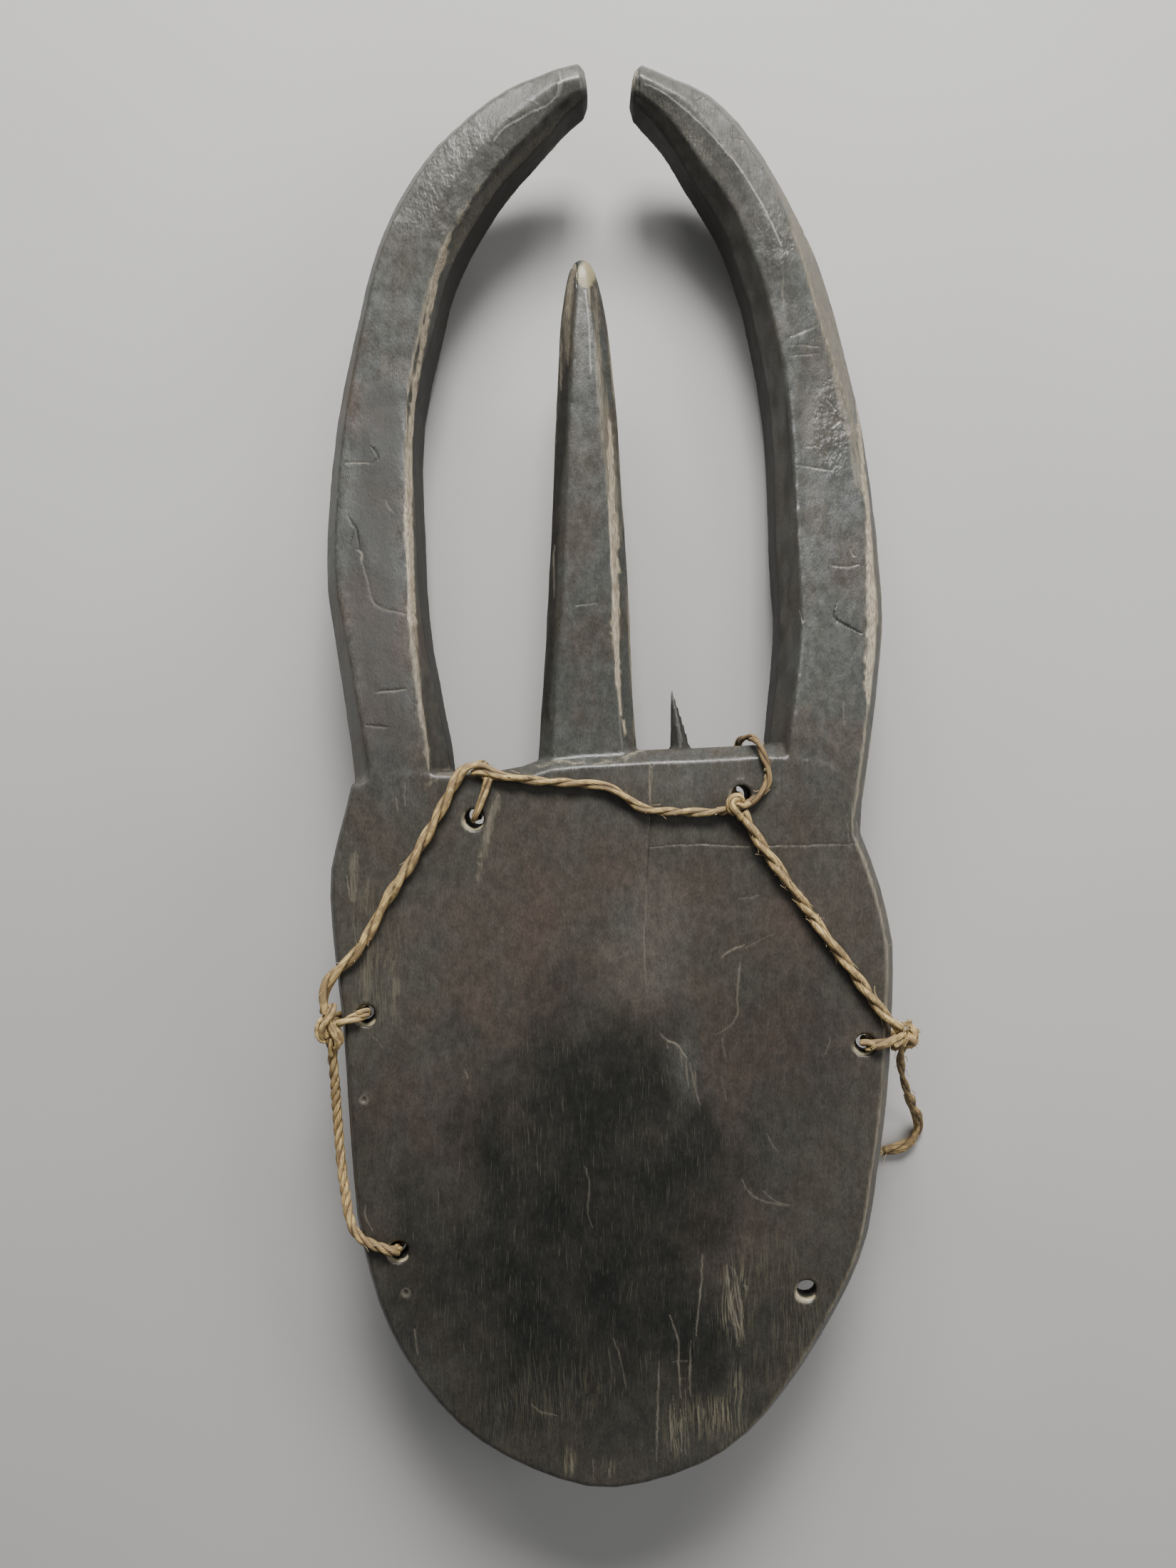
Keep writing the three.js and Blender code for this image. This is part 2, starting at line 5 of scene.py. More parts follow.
import bpy
import numpy as np
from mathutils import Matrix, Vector


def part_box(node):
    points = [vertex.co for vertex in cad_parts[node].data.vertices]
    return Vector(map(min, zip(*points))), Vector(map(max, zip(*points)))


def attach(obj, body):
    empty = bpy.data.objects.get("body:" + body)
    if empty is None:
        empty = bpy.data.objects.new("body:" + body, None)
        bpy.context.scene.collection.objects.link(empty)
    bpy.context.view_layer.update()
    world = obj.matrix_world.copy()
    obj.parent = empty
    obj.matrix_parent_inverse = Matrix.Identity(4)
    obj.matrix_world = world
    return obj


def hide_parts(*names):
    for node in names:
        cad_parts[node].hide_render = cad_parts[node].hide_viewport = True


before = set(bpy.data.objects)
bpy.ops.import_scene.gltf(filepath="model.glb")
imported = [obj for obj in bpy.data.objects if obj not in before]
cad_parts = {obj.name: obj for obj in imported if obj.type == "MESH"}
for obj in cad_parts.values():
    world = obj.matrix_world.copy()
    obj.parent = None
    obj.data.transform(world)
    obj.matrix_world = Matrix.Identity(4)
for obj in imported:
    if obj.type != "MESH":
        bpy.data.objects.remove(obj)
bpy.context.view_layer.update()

MM = 0.001
BACK_Z = 0.066  # the mask's flat back over the floor
MASK_MIDDLE = np.array([0.00809, 0.00669, 0.0])  # the frame's origin, seen from the mask's own
BODY = "root"


def add_object(name, data):
    added = bpy.data.objects.new(name, data)
    bpy.context.scene.collection.objects.link(added)
    return added


# Camera, straight over the middle of the photograph's frame

PHOTO_PIXELS = (1650, 2200)
PIXEL = 0.3114 * MM  # a pixel of the photograph on the flat back
EYE_OVER_BACK = 0.514
SENSOR = 36.0
NEAREST_IN_VIEW = 0.01


def add_camera():
    data = bpy.data.cameras.new("camera")
    data.sensor_width = SENSOR
    data.lens = SENSOR * EYE_OVER_BACK / (PHOTO_PIXELS[1] * PIXEL)
    data.clip_start = NEAREST_IN_VIEW
    camera = add_object("camera", data)
    camera.location = (-MASK_MIDDLE[0], -MASK_MIDDLE[1], BACK_Z + EYE_OVER_BACK)
    bpy.context.scene.camera = camera


add_camera()


def from_photo(x, y, drop=0.0):
    """The point under a pixel of the photograph, that many millimetres under the flat back."""
    depth = EYE_OVER_BACK + drop * MM
    scale = PIXEL * depth / EYE_OVER_BACK
    across = (x - PHOTO_PIXELS[0] / 2) * scale
    along = (PHOTO_PIXELS[1] / 2 - y) * scale
    return np.array([across, along, BACK_Z - drop * MM]) - MASK_MIDDLE


# Small mathematics on arrays of points

TINY = 1e-12
LATTICE = 64
CURVE_STEPS = 24  # between two given points of a route
NEARLY_UPRIGHT = 0.1


def unit(vectors):
    return vectors / np.maximum(np.linalg.norm(vectors, axis=-1, keepdims=True), TINY)


def smooth(t):
    return t * t * (3 - 2 * t)


def ease(low, high, values):
    """0 under low, 1 over high, and a smooth step between."""
    return smooth(np.clip((values - low) / (high - low), 0, 1))


def soft_noise(points, cell, seed):
    """Smooth noise from -1 to 1. cell is the size of its waves, one number or one for each axis."""
    lattice = np.random.default_rng(seed).uniform(-1, 1, (LATTICE,) * 3)
    scaled = points / np.asarray(cell, float)
    low = np.floor(scaled).astype(int)
    t = smooth(scaled - low)
    total = np.zeros(len(points))
    for corner in np.ndindex(2, 2, 2):
        weight = np.prod(np.where(corner, t, 1 - t), axis=1)
        i, j, k = ((low + corner) % LATTICE).T
        total += weight * lattice[i, j, k]
    return total


def run_along(line):
    """The way from a line's start to each of its points."""
    return np.concatenate([[0], np.cumsum(np.linalg.norm(np.diff(line, axis=0), axis=1))])


def between(t, t_a, a, t_b, b):
    return ((t_b - t) * a + (t - t_a) * b) / (t_b - t_a)


def smooth_route(points, spacing):
    """Points at even steps on a centripetal Catmull-Rom curve through the given ones."""
    points = np.asarray(points, float)
    p = np.concatenate([2 * points[:1] - points[1:2], points, 2 * points[-1:] - points[-2:-1]])
    knots = np.concatenate([[0], np.cumsum(np.linalg.norm(np.diff(p, axis=0), axis=1) ** 0.5)])
    fine = []
    for i in range(1, len(p) - 2):
        t0, t1, t2, t3 = knots[i - 1 : i + 3]
        t = np.linspace(t1, t2, CURVE_STEPS, endpoint=i == len(p) - 3)[:, None]
        a1 = between(t, t0, p[i - 1], t1, p[i])
        a2 = between(t, t1, p[i], t2, p[i + 1])
        a3 = between(t, t2, p[i + 1], t3, p[i + 2])
        b1 = between(t, t0, a1, t2, a2)
        b2 = between(t, t1, a2, t3, a3)
        fine.append(between(t, t1, b1, t2, b2))
    fine = np.concatenate(fine)
    run = run_along(fine)
    even = np.linspace(0, run[-1], max(3, int(run[-1] / spacing) + 1))
    return np.stack([np.interp(even, run, fine[:, axis]) for axis in range(3)], axis=1)


def frames_along(points):
    """Two directions across a line at each of its points, which turn with it and don't spin."""
    tangents = unit(np.gradient(points, axis=0))
    side = np.cross(tangents[0], (0.0, 0.0, 1.0))
    if np.linalg.norm(side) < NEARLY_UPRIGHT:
        side = np.cross(tangents[0], (0.0, 1.0, 0.0))
    sides = [unit(side)]
    for tangent in tangents[1:]:
        carried = sides[-1] - tangent * (sides[-1] @ tangent)
        sides.append(unit(carried))
    sides = np.array(sides)
    return sides, np.cross(tangents, sides), tangents


def store(mesh, name, values, kind="FLOAT", field="value"):
    """Keeps a value of each vertex in the mesh, where a material can read it."""
    attribute = mesh.attributes.new(name, kind, "POINT")
    attribute.data.foreach_set(field, values.astype(np.float32).ravel())


# Fibre: how strands are laid, and how rough they and the loose fibres on them are

STRAND_PLACE = {2: 0.19, 3: 0.24}  # a strand's way from the middle, as a share of the cord's diameter
STRAND_RADIUS = {2: 0.325, 3: 0.265}  # as the same share
CORD_REACH = 0.56  # from a cord's middle to its outside, as the same share
LAY_WANDER = 0.9  # how unevenly strands turn, in radians
WANDER_LENGTH = 15 * MM
STRAND_SIDES = 12
RIDGES = 0.14  # depth of the fibre ridges on a strand, as a share of its radius
RIDGE_TURNS = 0.6  # turns of the ridges for a turn of the strand
RIDGE_CELL = (0.6, 0.6, 1.0)
RIDGE_LENGTH = 9 * MM
RIDGE_SHIFT = 40  # how far the ridges of two strands are apart in the noise
SWELL = 0.11  # how much a strand's radius changes along it
SWELL_LENGTH = 8 * MM
SWELL_SHIFT = 50 * MM
BLUNT = 0.02  # how broad a thinned end stays
END_CREASE_SHADE = 0.5
HAIR_RADII = (0.1, 0.18)  # in millimetres
HAIR_OVER_FLOOR = 0.3 * MM
HAIR_LIFT = 0.3
LIFT_SPREAD = (0.3, 1.6)
DOWNWARD = -0.3  # a loose fibre that heads further down than this stands on the other side
FUZZ_LENGTH = 3.6 * MM
FUZZ_SHARES = (0.3, 1.0)  # shortest and longest loose fibre
FUZZ_CURL = 0.25
FUZZ_REACH = 2 * MM  # how far a loose fibre stands off its cord
FUZZ_ROOT = 0.9  # where a loose fibre starts, as a share of the cord's radius
FRAY_SHARES = (0.4, 1.0)
FRAY_CURL = 0.2
FRAY_SPREAD = 0.28
FRAY_WIDTH = 0.5  # in millimetres
STRAW = -1.0  # the age of pale loose fibres; 0 is a usual strand's and 1 a brown one's


def bent_hair(start, heading, long, curl, points):
    steps = np.linspace(0, 1, points)[:, None]
    return start + heading * long * steps + curl * long * steps**2


class Strands:
    """Gathers tubes of fibre into one mesh, with the place of each vertex in its strand."""

    def __init__(self, seed):
        self.points, self.faces, self.lay, self.groove, self.age = [], [], [], [], []
        self.count = 0
        self.random = np.random.default_rng(seed)

    def add_tube(
        self, line, radius, sides, ridges=0.0, spiral=0.0, taper=0.0, axis=None, reach=1.0, age=0.0
    ):
        """A closed tube round a line. ridges is the depth of its fibre ridges as a share of the radius,
        spiral their turns per metre, taper the length over which its ends grow thin, and axis and
        reach the line and radius of the cord that it is a strand of."""
        across, up, _ = frames_along(line)
        run = run_along(line)
        angles = np.linspace(0, 2 * np.pi, sides, endpoint=False)
        turned = angles[None, :] + 2 * np.pi * spiral * run[:, None]
        shift = self.random.uniform(0, 1)
        around = np.stack([np.cos(turned), np.sin(turned)], axis=-1)
        spread = np.concatenate([around, np.repeat(run[:, None, None] / RIDGE_LENGTH, sides, 1)], axis=-1)
        ridge_places = (spread + shift * RIDGE_SHIFT).reshape(-1, 3)
        rough = soft_noise(ridge_places, RIDGE_CELL, seed=5).reshape(turned.shape)
        swell_places = np.stack([run, run * 0, run * 0 + shift * SWELL_SHIFT], 1)
        swell = soft_noise(swell_places, SWELL_LENGTH, seed=7)
        width = radius * (1 + SWELL * swell)
        for to_end in (run, run[-1] - run) if taper else ():
            near = np.clip(to_end / taper, 0, 1)
            width = width * np.sqrt(near * (2 - near) + BLUNT)
        outward = np.cos(angles)[None, :, None] * across[:, None, :]
        outward = outward + np.sin(angles)[None, :, None] * up[:, None, :]
        ring = line[:, None, :] + (width[:, None] * (1 + ridges * rough))[..., None] * outward
        self.points += [ring.reshape(-1, 3), line[:1], line[-1:]]
        lay = np.concatenate([around, np.repeat((run + shift)[:, None, None] / MM, sides, 1)], -1)
        self.lay += [lay.reshape(-1, 3), np.zeros((2, 3))]
        # How deep inside the cord each point lies, which paints the creases between strands dark as shade
        groove = np.zeros(len(line) * sides)
        if axis is not None:
            groove = (1 - np.linalg.norm(ring - axis[:, None, :], axis=2) / reach[:, None]).ravel()
        self.groove += [np.clip(groove, 0, 1), np.full(2, END_CREASE_SHADE)]
        self.age += [np.full(len(line) * sides + 2, age)]
        self.add_faces(len(line), sides)

    def add_faces(self, rows, sides):
        """The faces of a tube whose rings and two end points are the last points added."""
        start = self.count
        first, last = start + rows * sides, start + rows * sides + 1
        for i in range(rows - 1):
            a, b = start + i * sides, start + (i + 1) * sides
            for j in range(sides):
                k = (j + 1) % sides
                self.faces.append((a + j, a + k, b + k, b + j))
        tail = start + (rows - 1) * sides
        for j in range(sides):
            k = (j + 1) % sides
            self.faces.append((first, start + k, start + j))
            self.faces.append((last, tail + j, tail + k))
        self.count += rows * sides + 2

    def add_twist(
        self, line, diameter, strands, pitch, hand=1, sides=STRAND_SIDES, taper=0.0, age=0.0
    ):
        """Strands that wind round each other along a line. The diameter may change along it."""
        across, up, _ = frames_along(line)
        diameter = np.broadcast_to(diameter, len(line))
        run = run_along(line)
        wander_places = np.stack([run, run * 0, run * 0], 1)
        wander = soft_noise(wander_places, WANDER_LENGTH, seed=self.random.integers(99))
        for s in range(strands):
            angle = hand * (2 * np.pi * run / pitch + LAY_WANDER * wander) + 2 * np.pi * s / strands
            outward = np.cos(angle)[:, None] * across + np.sin(angle)[:, None] * up
            self.add_tube(
                line + (STRAND_PLACE[strands] * diameter)[:, None] * outward,
                STRAND_RADIUS[strands] * diameter,
                sides,
                ridges=RIDGES,
                spiral=hand * RIDGE_TURNS / pitch,
                taper=taper,
                axis=line,
                reach=CORD_REACH * diameter,
                age=age,
            )

    def add_hair(self, hair, sides):
        hair[:, 2] = np.maximum(hair[:, 2], HAIR_OVER_FLOOR)
        self.add_tube(hair, self.random.uniform(*HAIR_RADII) * MM, sides, age=STRAW)

    def add_fuzz(self, line, radius, count, longest=FUZZ_LENGTH):
        """Loose fibres that stand a little off a cord."""
        across, up, tangents = frames_along(line)
        for _ in range(count):
            i = self.random.integers(2, len(line) - 2)
            angle = self.random.uniform(0, 2 * np.pi)
            out = np.cos(angle) * across[i] + np.sin(angle) * up[i]
            if out[2] < DOWNWARD:
                out = -out
            along = tangents[i] * self.random.choice([-1, 1])
            heading = unit(along + out * HAIR_LIFT * self.random.uniform(*LIFT_SPREAD))
            long = self.random.uniform(*FUZZ_SHARES) * longest
            curl = self.random.normal(0, FUZZ_CURL, 3)
            hair = bent_hair(line[i] + out * radius * FUZZ_ROOT, heading, long, curl, points=5)
            nearest = line[np.linalg.norm(hair[:, None] - line[None], axis=2).argmin(axis=1)]
            away = np.linalg.norm(hair - nearest, axis=1, keepdims=True)
            hair = nearest + (hair - nearest) * np.minimum(1, (radius + FUZZ_REACH) / away)
            self.add_hair(hair, sides=3)

    def add_fray(self, point, heading, count, longest):
        """A tuft of fibres at a cord's end."""
        for _ in range(count):
            aim = unit(unit(np.asarray(heading, float)) + self.random.normal(0, FRAY_SPREAD, 3))
            long = self.random.uniform(*FRAY_SHARES) * longest
            curl = self.random.normal(0, FRAY_CURL, 3)
            start = point + self.random.normal(0, FRAY_WIDTH, 3) * MM
            self.add_hair(bent_hair(start, aim, long, curl, points=6), sides=4)

    def build(self, name):
        mesh = bpy.data.meshes.new(name)
        mesh.from_pydata(np.concatenate(self.points).tolist(), [], self.faces)
        mesh.polygons.foreach_set("use_smooth", [True] * len(mesh.polygons))
        store(mesh, "lay", np.concatenate(self.lay), "FLOAT_VECTOR", "vector")
        store(mesh, "groove", np.concatenate(self.groove))
        store(mesh, "age", np.concatenate(self.age))
        mesh.update()
        piece = add_object(name, mesh)
        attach(piece, BODY)
        return piece


CORD_STEP = 0.75 * MM
ENDS_STEP = 0.5 * MM
INTO_KNOT = 2.4 * MM  # how far a cord's strands run on into the knot at its end
END_TAPER = 1.2 * MM
SLIMMING = (0.4, 0.6)  # where along a cord its width changes from one half's to the other's
CORD_SEED, KNOT_SEED, ENDS_SEED, TAIL_SEED = 10, 40, 50, 60

# Each cord's diameter as laid, its strands, the length of a turn, the way it is twisted, how many
# loose fibres it has, and the route of its centre line in the mask's own frame, in millimetres,
# as in the CAD model. slim gives the share of the diameter that its two halves have.

CORDS = {
    "lower_left_cord": {
        "diameter": 4.4 * MM, "strands": 3, "pitch": 17 * MM, "hand": 1, "fuzz": 12, "age": 0.4,
        "far_end": "knot",
        "route": [
            (-86, -204.4, 53), (-84.8, -204.3, 58), (-83.8, -204.1, 62.6), (-83.5, -203.7, 66.4),
            (-85.2, -202.9, 68.8), (-89.4, -201.5, 69.2), (-95.5, -199.2, 69), (-100.5, -195.8, 68.6),
            (-103.8, -190, 66.8), (-107, -178, 62.6), (-109.4, -165, 59.6), (-110.9, -150, 58.8),
            (-111.6, -136, 60), (-112.2, -122, 62.2), (-112.4, -113.5, 63.6),
        ],
    },
    "main_cord": {
        "diameter": 5 * MM, "strands": 2, "pitch": 31 * MM, "hand": -1, "fuzz": 30, "slim": (1.0, 0.8),
        "far_end": "knot",
        "route": [
            (-115, -98.5, 67.6), (-114.6, -91, 68.4), (-111.5, -84, 69), (-106, -78.5, 69),
            (-100.5, -73, 69), (-95, -64.5, 69), (-90.5, -56, 69), (-85.5, -47.5, 69), (-80, -39, 69),
            (-74.8, -30.5, 69), (-69.8, -22, 69), (-65.2, -13.5, 69), (-61, -5.5, 69), (-57.5, 1.5, 69),
            (-54, 6.2, 69), (-50, 8, 69), (-46, 7.4, 69), (-42, 5.2, 69), (-37, 3.4, 69), (-31, 2.5, 69),
            (-25.5, 1.8, 69), (-16.5, 1, 69), (-7.5, 0.5, 69), (1.5, -0.2, 69), (8, -1.2, 69),
            (13, -3.4, 69), (18, -7, 69), (23, -10.2, 69), (30, -11.7, 69), (40.5, -12.2, 69),
            (50, -12.4, 69), (58, -11.8, 69),
        ],
    },
    "right_cord": {
        "diameter": 5 * MM, "strands": 2, "pitch": 31 * MM, "hand": -1, "fuzz": 60, "far_end": "knot",
        "route": [
            (67.6, -13.6, 69.2), (70.4, -18.6, 69), (75, -26, 69), (80.5, -33.6, 69), (86.5, -42, 69),
            (93.5, -52, 69), (101, -62.8, 69), (109.3, -74, 69), (117.5, -85, 69), (125.6, -96.3, 69),
            (131, -102.4, 69), (134.8, -105.6, 68.4),
        ],
    },
    "tail_cord": {
        "diameter": 5 * MM, "strands": 2, "pitch": 40 * MM, "hand": -1, "fuzz": 34, "slim": (0.74, 1.0),
        "age": 0.35, "far_end": "bare",
        "route": [
            (139.2, -115.6, 61.5), (139.8, -120.5, 55), (142, -127.5, 46), (146, -136.5, 35.5),
            (151, -146, 25), (156.2, -155, 14.5), (160.6, -162.6, 6.4), (161.8, -169.5, 3),
            (158.4, -175, 2.8), (152, -178.4, 2.8), (144.5, -180, 2.8),
        ],
    },
    "left_ring_cord": {
        "diameter": 4.2 * MM, "strands": 2, "pitch": 22 * MM, "hand": 1, "fuzz": 8, "far_end": "knot",
        "route": [
            (-107.2, -103.6, 68.9), (-103.6, -102.2, 69), (-99.8, -101.2, 68.4), (-97.5, -100.9, 64.6),
            (-98.4, -100.9, 58), (-100.4, -101, 52.8), (-104.4, -101.6, 50.6), (-109, -102.6, 51.4),
            (-112, -103.8, 55), (-112.8, -104.8, 60.6),
        ],
    },
    "right_ring_cord": {
        "diameter": 4.2 * MM, "strands": 2, "pitch": 24 * MM, "hand": -1, "fuzz": 14, "far_end": "knot",
        "route": [
            (133, -111, 69), (128.8, -112.2, 69.2), (124.2, -113.2, 68.6), (121.6, -113.7, 64.6),
            (122.6, -113.7, 58), (124.8, -113.5, 52.8), (129, -113, 50.8), (134.4, -112.3, 51.8),
            (138, -111.2, 55.2), (139.2, -110.2, 59.8),
        ],
    },
    "upper_right_ring_cord": {
        "diameter": 4.2 * MM, "strands": 2, "pitch": 26 * MM, "hand": -1, "fuzz": 22,
        "slim": (0.8, 0.84), "age": 0.8, "far_end": "knot",
        "route": [
            (69.4, -8.6, 69), (73, -6.2, 68.7), (76.4, -2.6, 68.6), (78.4, 2, 68.6), (78.2, 7, 68.6),
            (76.6, 11.6, 68.4), (74.8, 16.6, 67), (72.9, 19.9, 63), (71.2, 20.6, 56), (69.8, 20.4, 48),
            (69, 19, 40.4), (68.4, 13.4, 37), (67.8, 5.6, 36.6), (67.2, -1.8, 37), (67, -5.3, 43),
            (67, -5, 54), (66.6, -5.4, 63.6),
        ],
    },
    "upper_left_ring_cord": {
        "diameter": 3.6 * MM, "strands": 2, "pitch": 90 * MM, "hand": 1, "fuzz": 6, "far_end": "object",
        "route": [
            (-43.6, 1, 68.4), (-45, -3.4, 68.1), (-47, -9, 68.5), (-49.4, -14.2, 67), (-50, -15.6, 61),
            (-49.8, -14.8, 52), (-49.4, -14, 42.6), (-48.8, -10, 36.8), (-48, -2.6, 36.8),
            (-47.4, 4.6, 38.4), (-47, 8.8, 43.4), (-47, 9.4, 52), (-47.2, 9, 60), (-47.6, 8.4, 65.2),
        ],
    },
}


def cord_line(name):
    return smooth_route(np.array(CORDS[name]["route"]) * MM - MASK_MIDDLE, CORD_STEP)


def run_on(line, bare_end):
    """A line that runs straight on into the knots at its ends, but not past a bare end."""
    steps = np.arange(CORD_STEP, INTO_KNOT, CORD_STEP)[:, None]
    before = line[0] + unit(line[0] - line[3]) * steps[::-1]
    after = line[-1] + unit(line[-1] - line[-4]) * steps
    return np.concatenate([before, line] if bare_end else [before, line, after])


# Ends of single strands that show beside a cord: width in millimetres, and route in pixels of the
# photograph with the millimetres that it lies under the flat back, less than nothing above it

STRAND_ENDS = {
    "main_cord": [
        (
            2.5,
            [
                (660.5, 1085.5, -1.6), (667, 1083.5, -2.2), (677, 1084, -2.6), (690, 1087, -2.6),
                (704, 1088, -2.6),
            ],
        ),
        (1.7, [(675, 1091.5, -1.4), (682, 1091, -2), (692, 1091.5, -2.4), (706, 1092, -2.4)]),
        (2.3, [(1028, 1138.5, -2.2), (1019, 1138.8, -2.4), (1009, 1138.6, -2.6), (998, 1137.5, -2.8)]),
        (1.8, [(1025, 1135, -1.6), (1016, 1134.6, -2.2), (1004, 1135.4, -2.6)]),
    ],
    "left_ring_cord": [
        (2.2, [(520, 1417.6, -1.8), (514.5, 1417.2, -2.4), (507, 1419.5, -2.8), (499, 1422.5, -2.8)]),
        (2.2, [(519, 1423.4, -1.2), (514, 1423.6, -2), (507, 1425, -2.4), (499, 1426.5, -2.4)]),
    ],
    "right_ring_cord": [
        (2.7, [(1206.5, 1463.5, -0.8), (1212, 1462.5, -1.8), (1222, 1463, -2.6), (1233, 1463.5, -2.8)]),
        (1.9, [(1213, 1472, -0.6), (1219, 1472, -1.4), (1228, 1470, -2.2), (1237, 1468, -2.4)]),
        (
            3.2,
            [
                (1221, 1466.5, -2), (1229, 1468, -2.7), (1239, 1466.5, -3.2), (1250, 1462, -3.3),
                (1259, 1456, -3),
            ],
        ),
    ],
}


def make_cord(name, seed):
    cord = CORDS[name]
    line = cord_line(name)
    strands = Strands(seed)
    laid = run_on(line, cord["far_end"] == "bare")
    first, last = cord.get("slim", (1.0, 1.0))
    slimmed = first + (last - first) * ease(*SLIMMING, np.linspace(0, 1, len(laid)))
    strands.add_twist(
        laid,
        cord["diameter"] * slimmed,
        cord["strands"],
        cord["pitch"],
        cord["hand"],
        taper=END_TAPER,
        age=cord.get("age", 0.0),
    )
    strands.add_fuzz(line, cord["diameter"] / 2, cord["fuzz"])
    piece = strands.build(name + "_twisted")
    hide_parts(name)
    return piece, line


def make_strand_ends(name, seed):
    strands = Strands(seed)
    for width, route in STRAND_ENDS[name]:
        line = smooth_route(np.array([from_photo(*point) for point in route]), ENDS_STEP)
        strands.add_tube(line, width * MM / 2, STRAND_SIDES, ridges=RIDGES, taper=END_TAPER)
    return strands.build(name + "_ends")


# Knots: the width and route of each strand, in millimetres from the middle of the knot's CAD solid

KNOTS = {
    "left_knot": {
        "cord": "lower_left_cord",
        "strands": [
            (
                3.7,
                [
                    (0.6, 8.2, -1.2), (2.3, 9.4, 0.2), (2.5, 7.9, 1.8), (0.9, 4.6, 3), (-1.2, 0.8, 3.1),
                    (-1.4, -2.4, 2.2), (-0.4, -4.8, 0.6),
                ],
            ),
            (
                1.9,
                [
                    (-1.6, 4.4, -0.8), (-3.6, 2.2, 0.8), (-4.4, -1.6, 1.2), (-3, -5.2, 1.2),
                    (-0.4, -6.4, 0.4),
                ],
            ),
            (
                2.6,
                [
                    (0.2, 3.6, 0.2), (1.4, 1, 1.7), (3.1, -2.6, 2), (4.8, -6, 1.2), (4.3, -8.6, -0.2),
                    (2.7, -9.8, -1.8),
                ],
            ),
            (
                2.5,
                [(1.8, 3.6, -0.4), (4, 0.8, 0.8), (6, -3.4, 0.8), (5.9, -6.4, -0.4), (3.4, -7.6, -1.6)],
            ),
            (1.6, [(1, 4.2, 1), (2.6, 0.8, 2.4), (4.2, -2.6, 2.4), (5.4, -5.6, 1.4)]),
            (4, [(-1.8, 5, -1.6), (0.2, 1, -1), (1.8, -3, -1.2), (1.4, -6.6, -1.8)]),
            (3.4, [(1, -4.2, 0.4), (0.8, -7.4, -0.4), (0.9, -10.6, -2.4), (1.4, -13.4, -3.6)]),
        ],
    },
    "right_knot": {
        "cord": "right_cord",
        "strands": [
            (4.3, [(-6.8, -3.4, 3.2), (-4.6, -2.2, 3.6), (-2.8, -0.4, 3), (-1, 1.6, 1.6)]),
            (3.4, [(-5.4, -6.4, -1.6), (-3.4, -4.8, 1.2), (-1.4, -2, 3.6), (-0.5, 1.4, 3.4)]),
            (4.2, [(-1.8, -3.4, 1), (0.8, -3.4, 2.4), (3.2, -1.2, 2.5), (3.1, 1.6, 2), (1.2, 2.6, 1.2)]),
            (
                2,
                [
                    (-3.2, 3.2, 0.4), (-1.8, 4.6, 1), (0.4, 4.8, 1.4), (2.6, 3.4, 1.6), (4.2, 1.6, 1.4),
                    (3.6, -0.6, 1),
                ],
            ),
            (3.2, [(-1.2, 1.2, 1.8), (0.9, -0.8, 3.6), (2.4, -2.6, 2.8), (1.2, -4.4, 1)]),
            (3.8, [(-4.4, -2.6, -2.4), (0, -2, -2.8), (3.2, 0, -2), (3, 2.6, -0.2)]),
        ],
    },
    "upper_right_knot": {
        "cord": "right_cord",
        "strands": [
            (
                4.1,
                [
                    (2.4, 1.2, -0.8), (1.3, 3.2, 0.5), (-0.9, 3.3, 1.3), (-2.3, 1.2, 1.5),
                    (-1.5, -1.4, 1.6), (0.7, -3.4, 1.2), (3, -5.6, 0.2),
                ],
            ),
            (3.5, [(-0.8, 0.6, 0.6), (1.5, -0.3, 1.2), (4, 0.1, 0), (6, 1.6, -0.9)]),
            (1.8, [(-2.6, 2.6, 0.2), (-3.4, 0.6, 0.8), (-2.6, -2.2, 1), (-0.6, -4.4, 0.6)]),
        ],
    },
    "stopper_knot": {
        "cord": "lower_left_cord",
        "strands": [
            (
                3.4,
                [
                    (0.2, 0.2, 4.2), (2.4, 1.6, 1.2), (0.4, 4, 0.2), (-3.4, 2.2, 0.2),
                    (-3.4, -2.4, -0.2), (0.8, -3.8, 0), (3.6, -0.6, -0.6), (1.2, 2.8, -1.8),
                    (-2, 0.4, -2.2), (-1.2, -4.6, -2),
                ],
            ),
        ],
    },
}

TWISTED_OVER = 3.2  # a wider strand of a knot is itself twisted of two
KNOT_PITCH = 26 * MM
KNOT_TAPER = 1.0 * MM
KNOT_STEP = 0.4 * MM
KNOT_SIDES = 14
KNOT_RIDGES = 0.16
KNOT_FUZZ = 4  # loose fibres on each strand of a knot
KNOT_FUZZ_LENGTH = 2 * MM

# Tufts of torn fibre on the right knot: place in the same millimetres, heading, count and length

TUFTS = [
    ((0.8, 4.8, 1.6), (0.0, 0.8, 0.5), 46, 2.4),
    ((3.8, 1.8, 1.6), (0.8, 0.5, 0.3), 30, 2.0),
    ((3.0, -2.4, 2.6), (0.7, -0.4, 0.6), 34, 1.8),
    ((-0.6, 2.6, 3.8), (-0.2, 0.8, 0.6), 24, 2.0),
    ((1.4, -4.0, 1.6), (0.2, -0.9, 0.4), 20, 1.8),
]


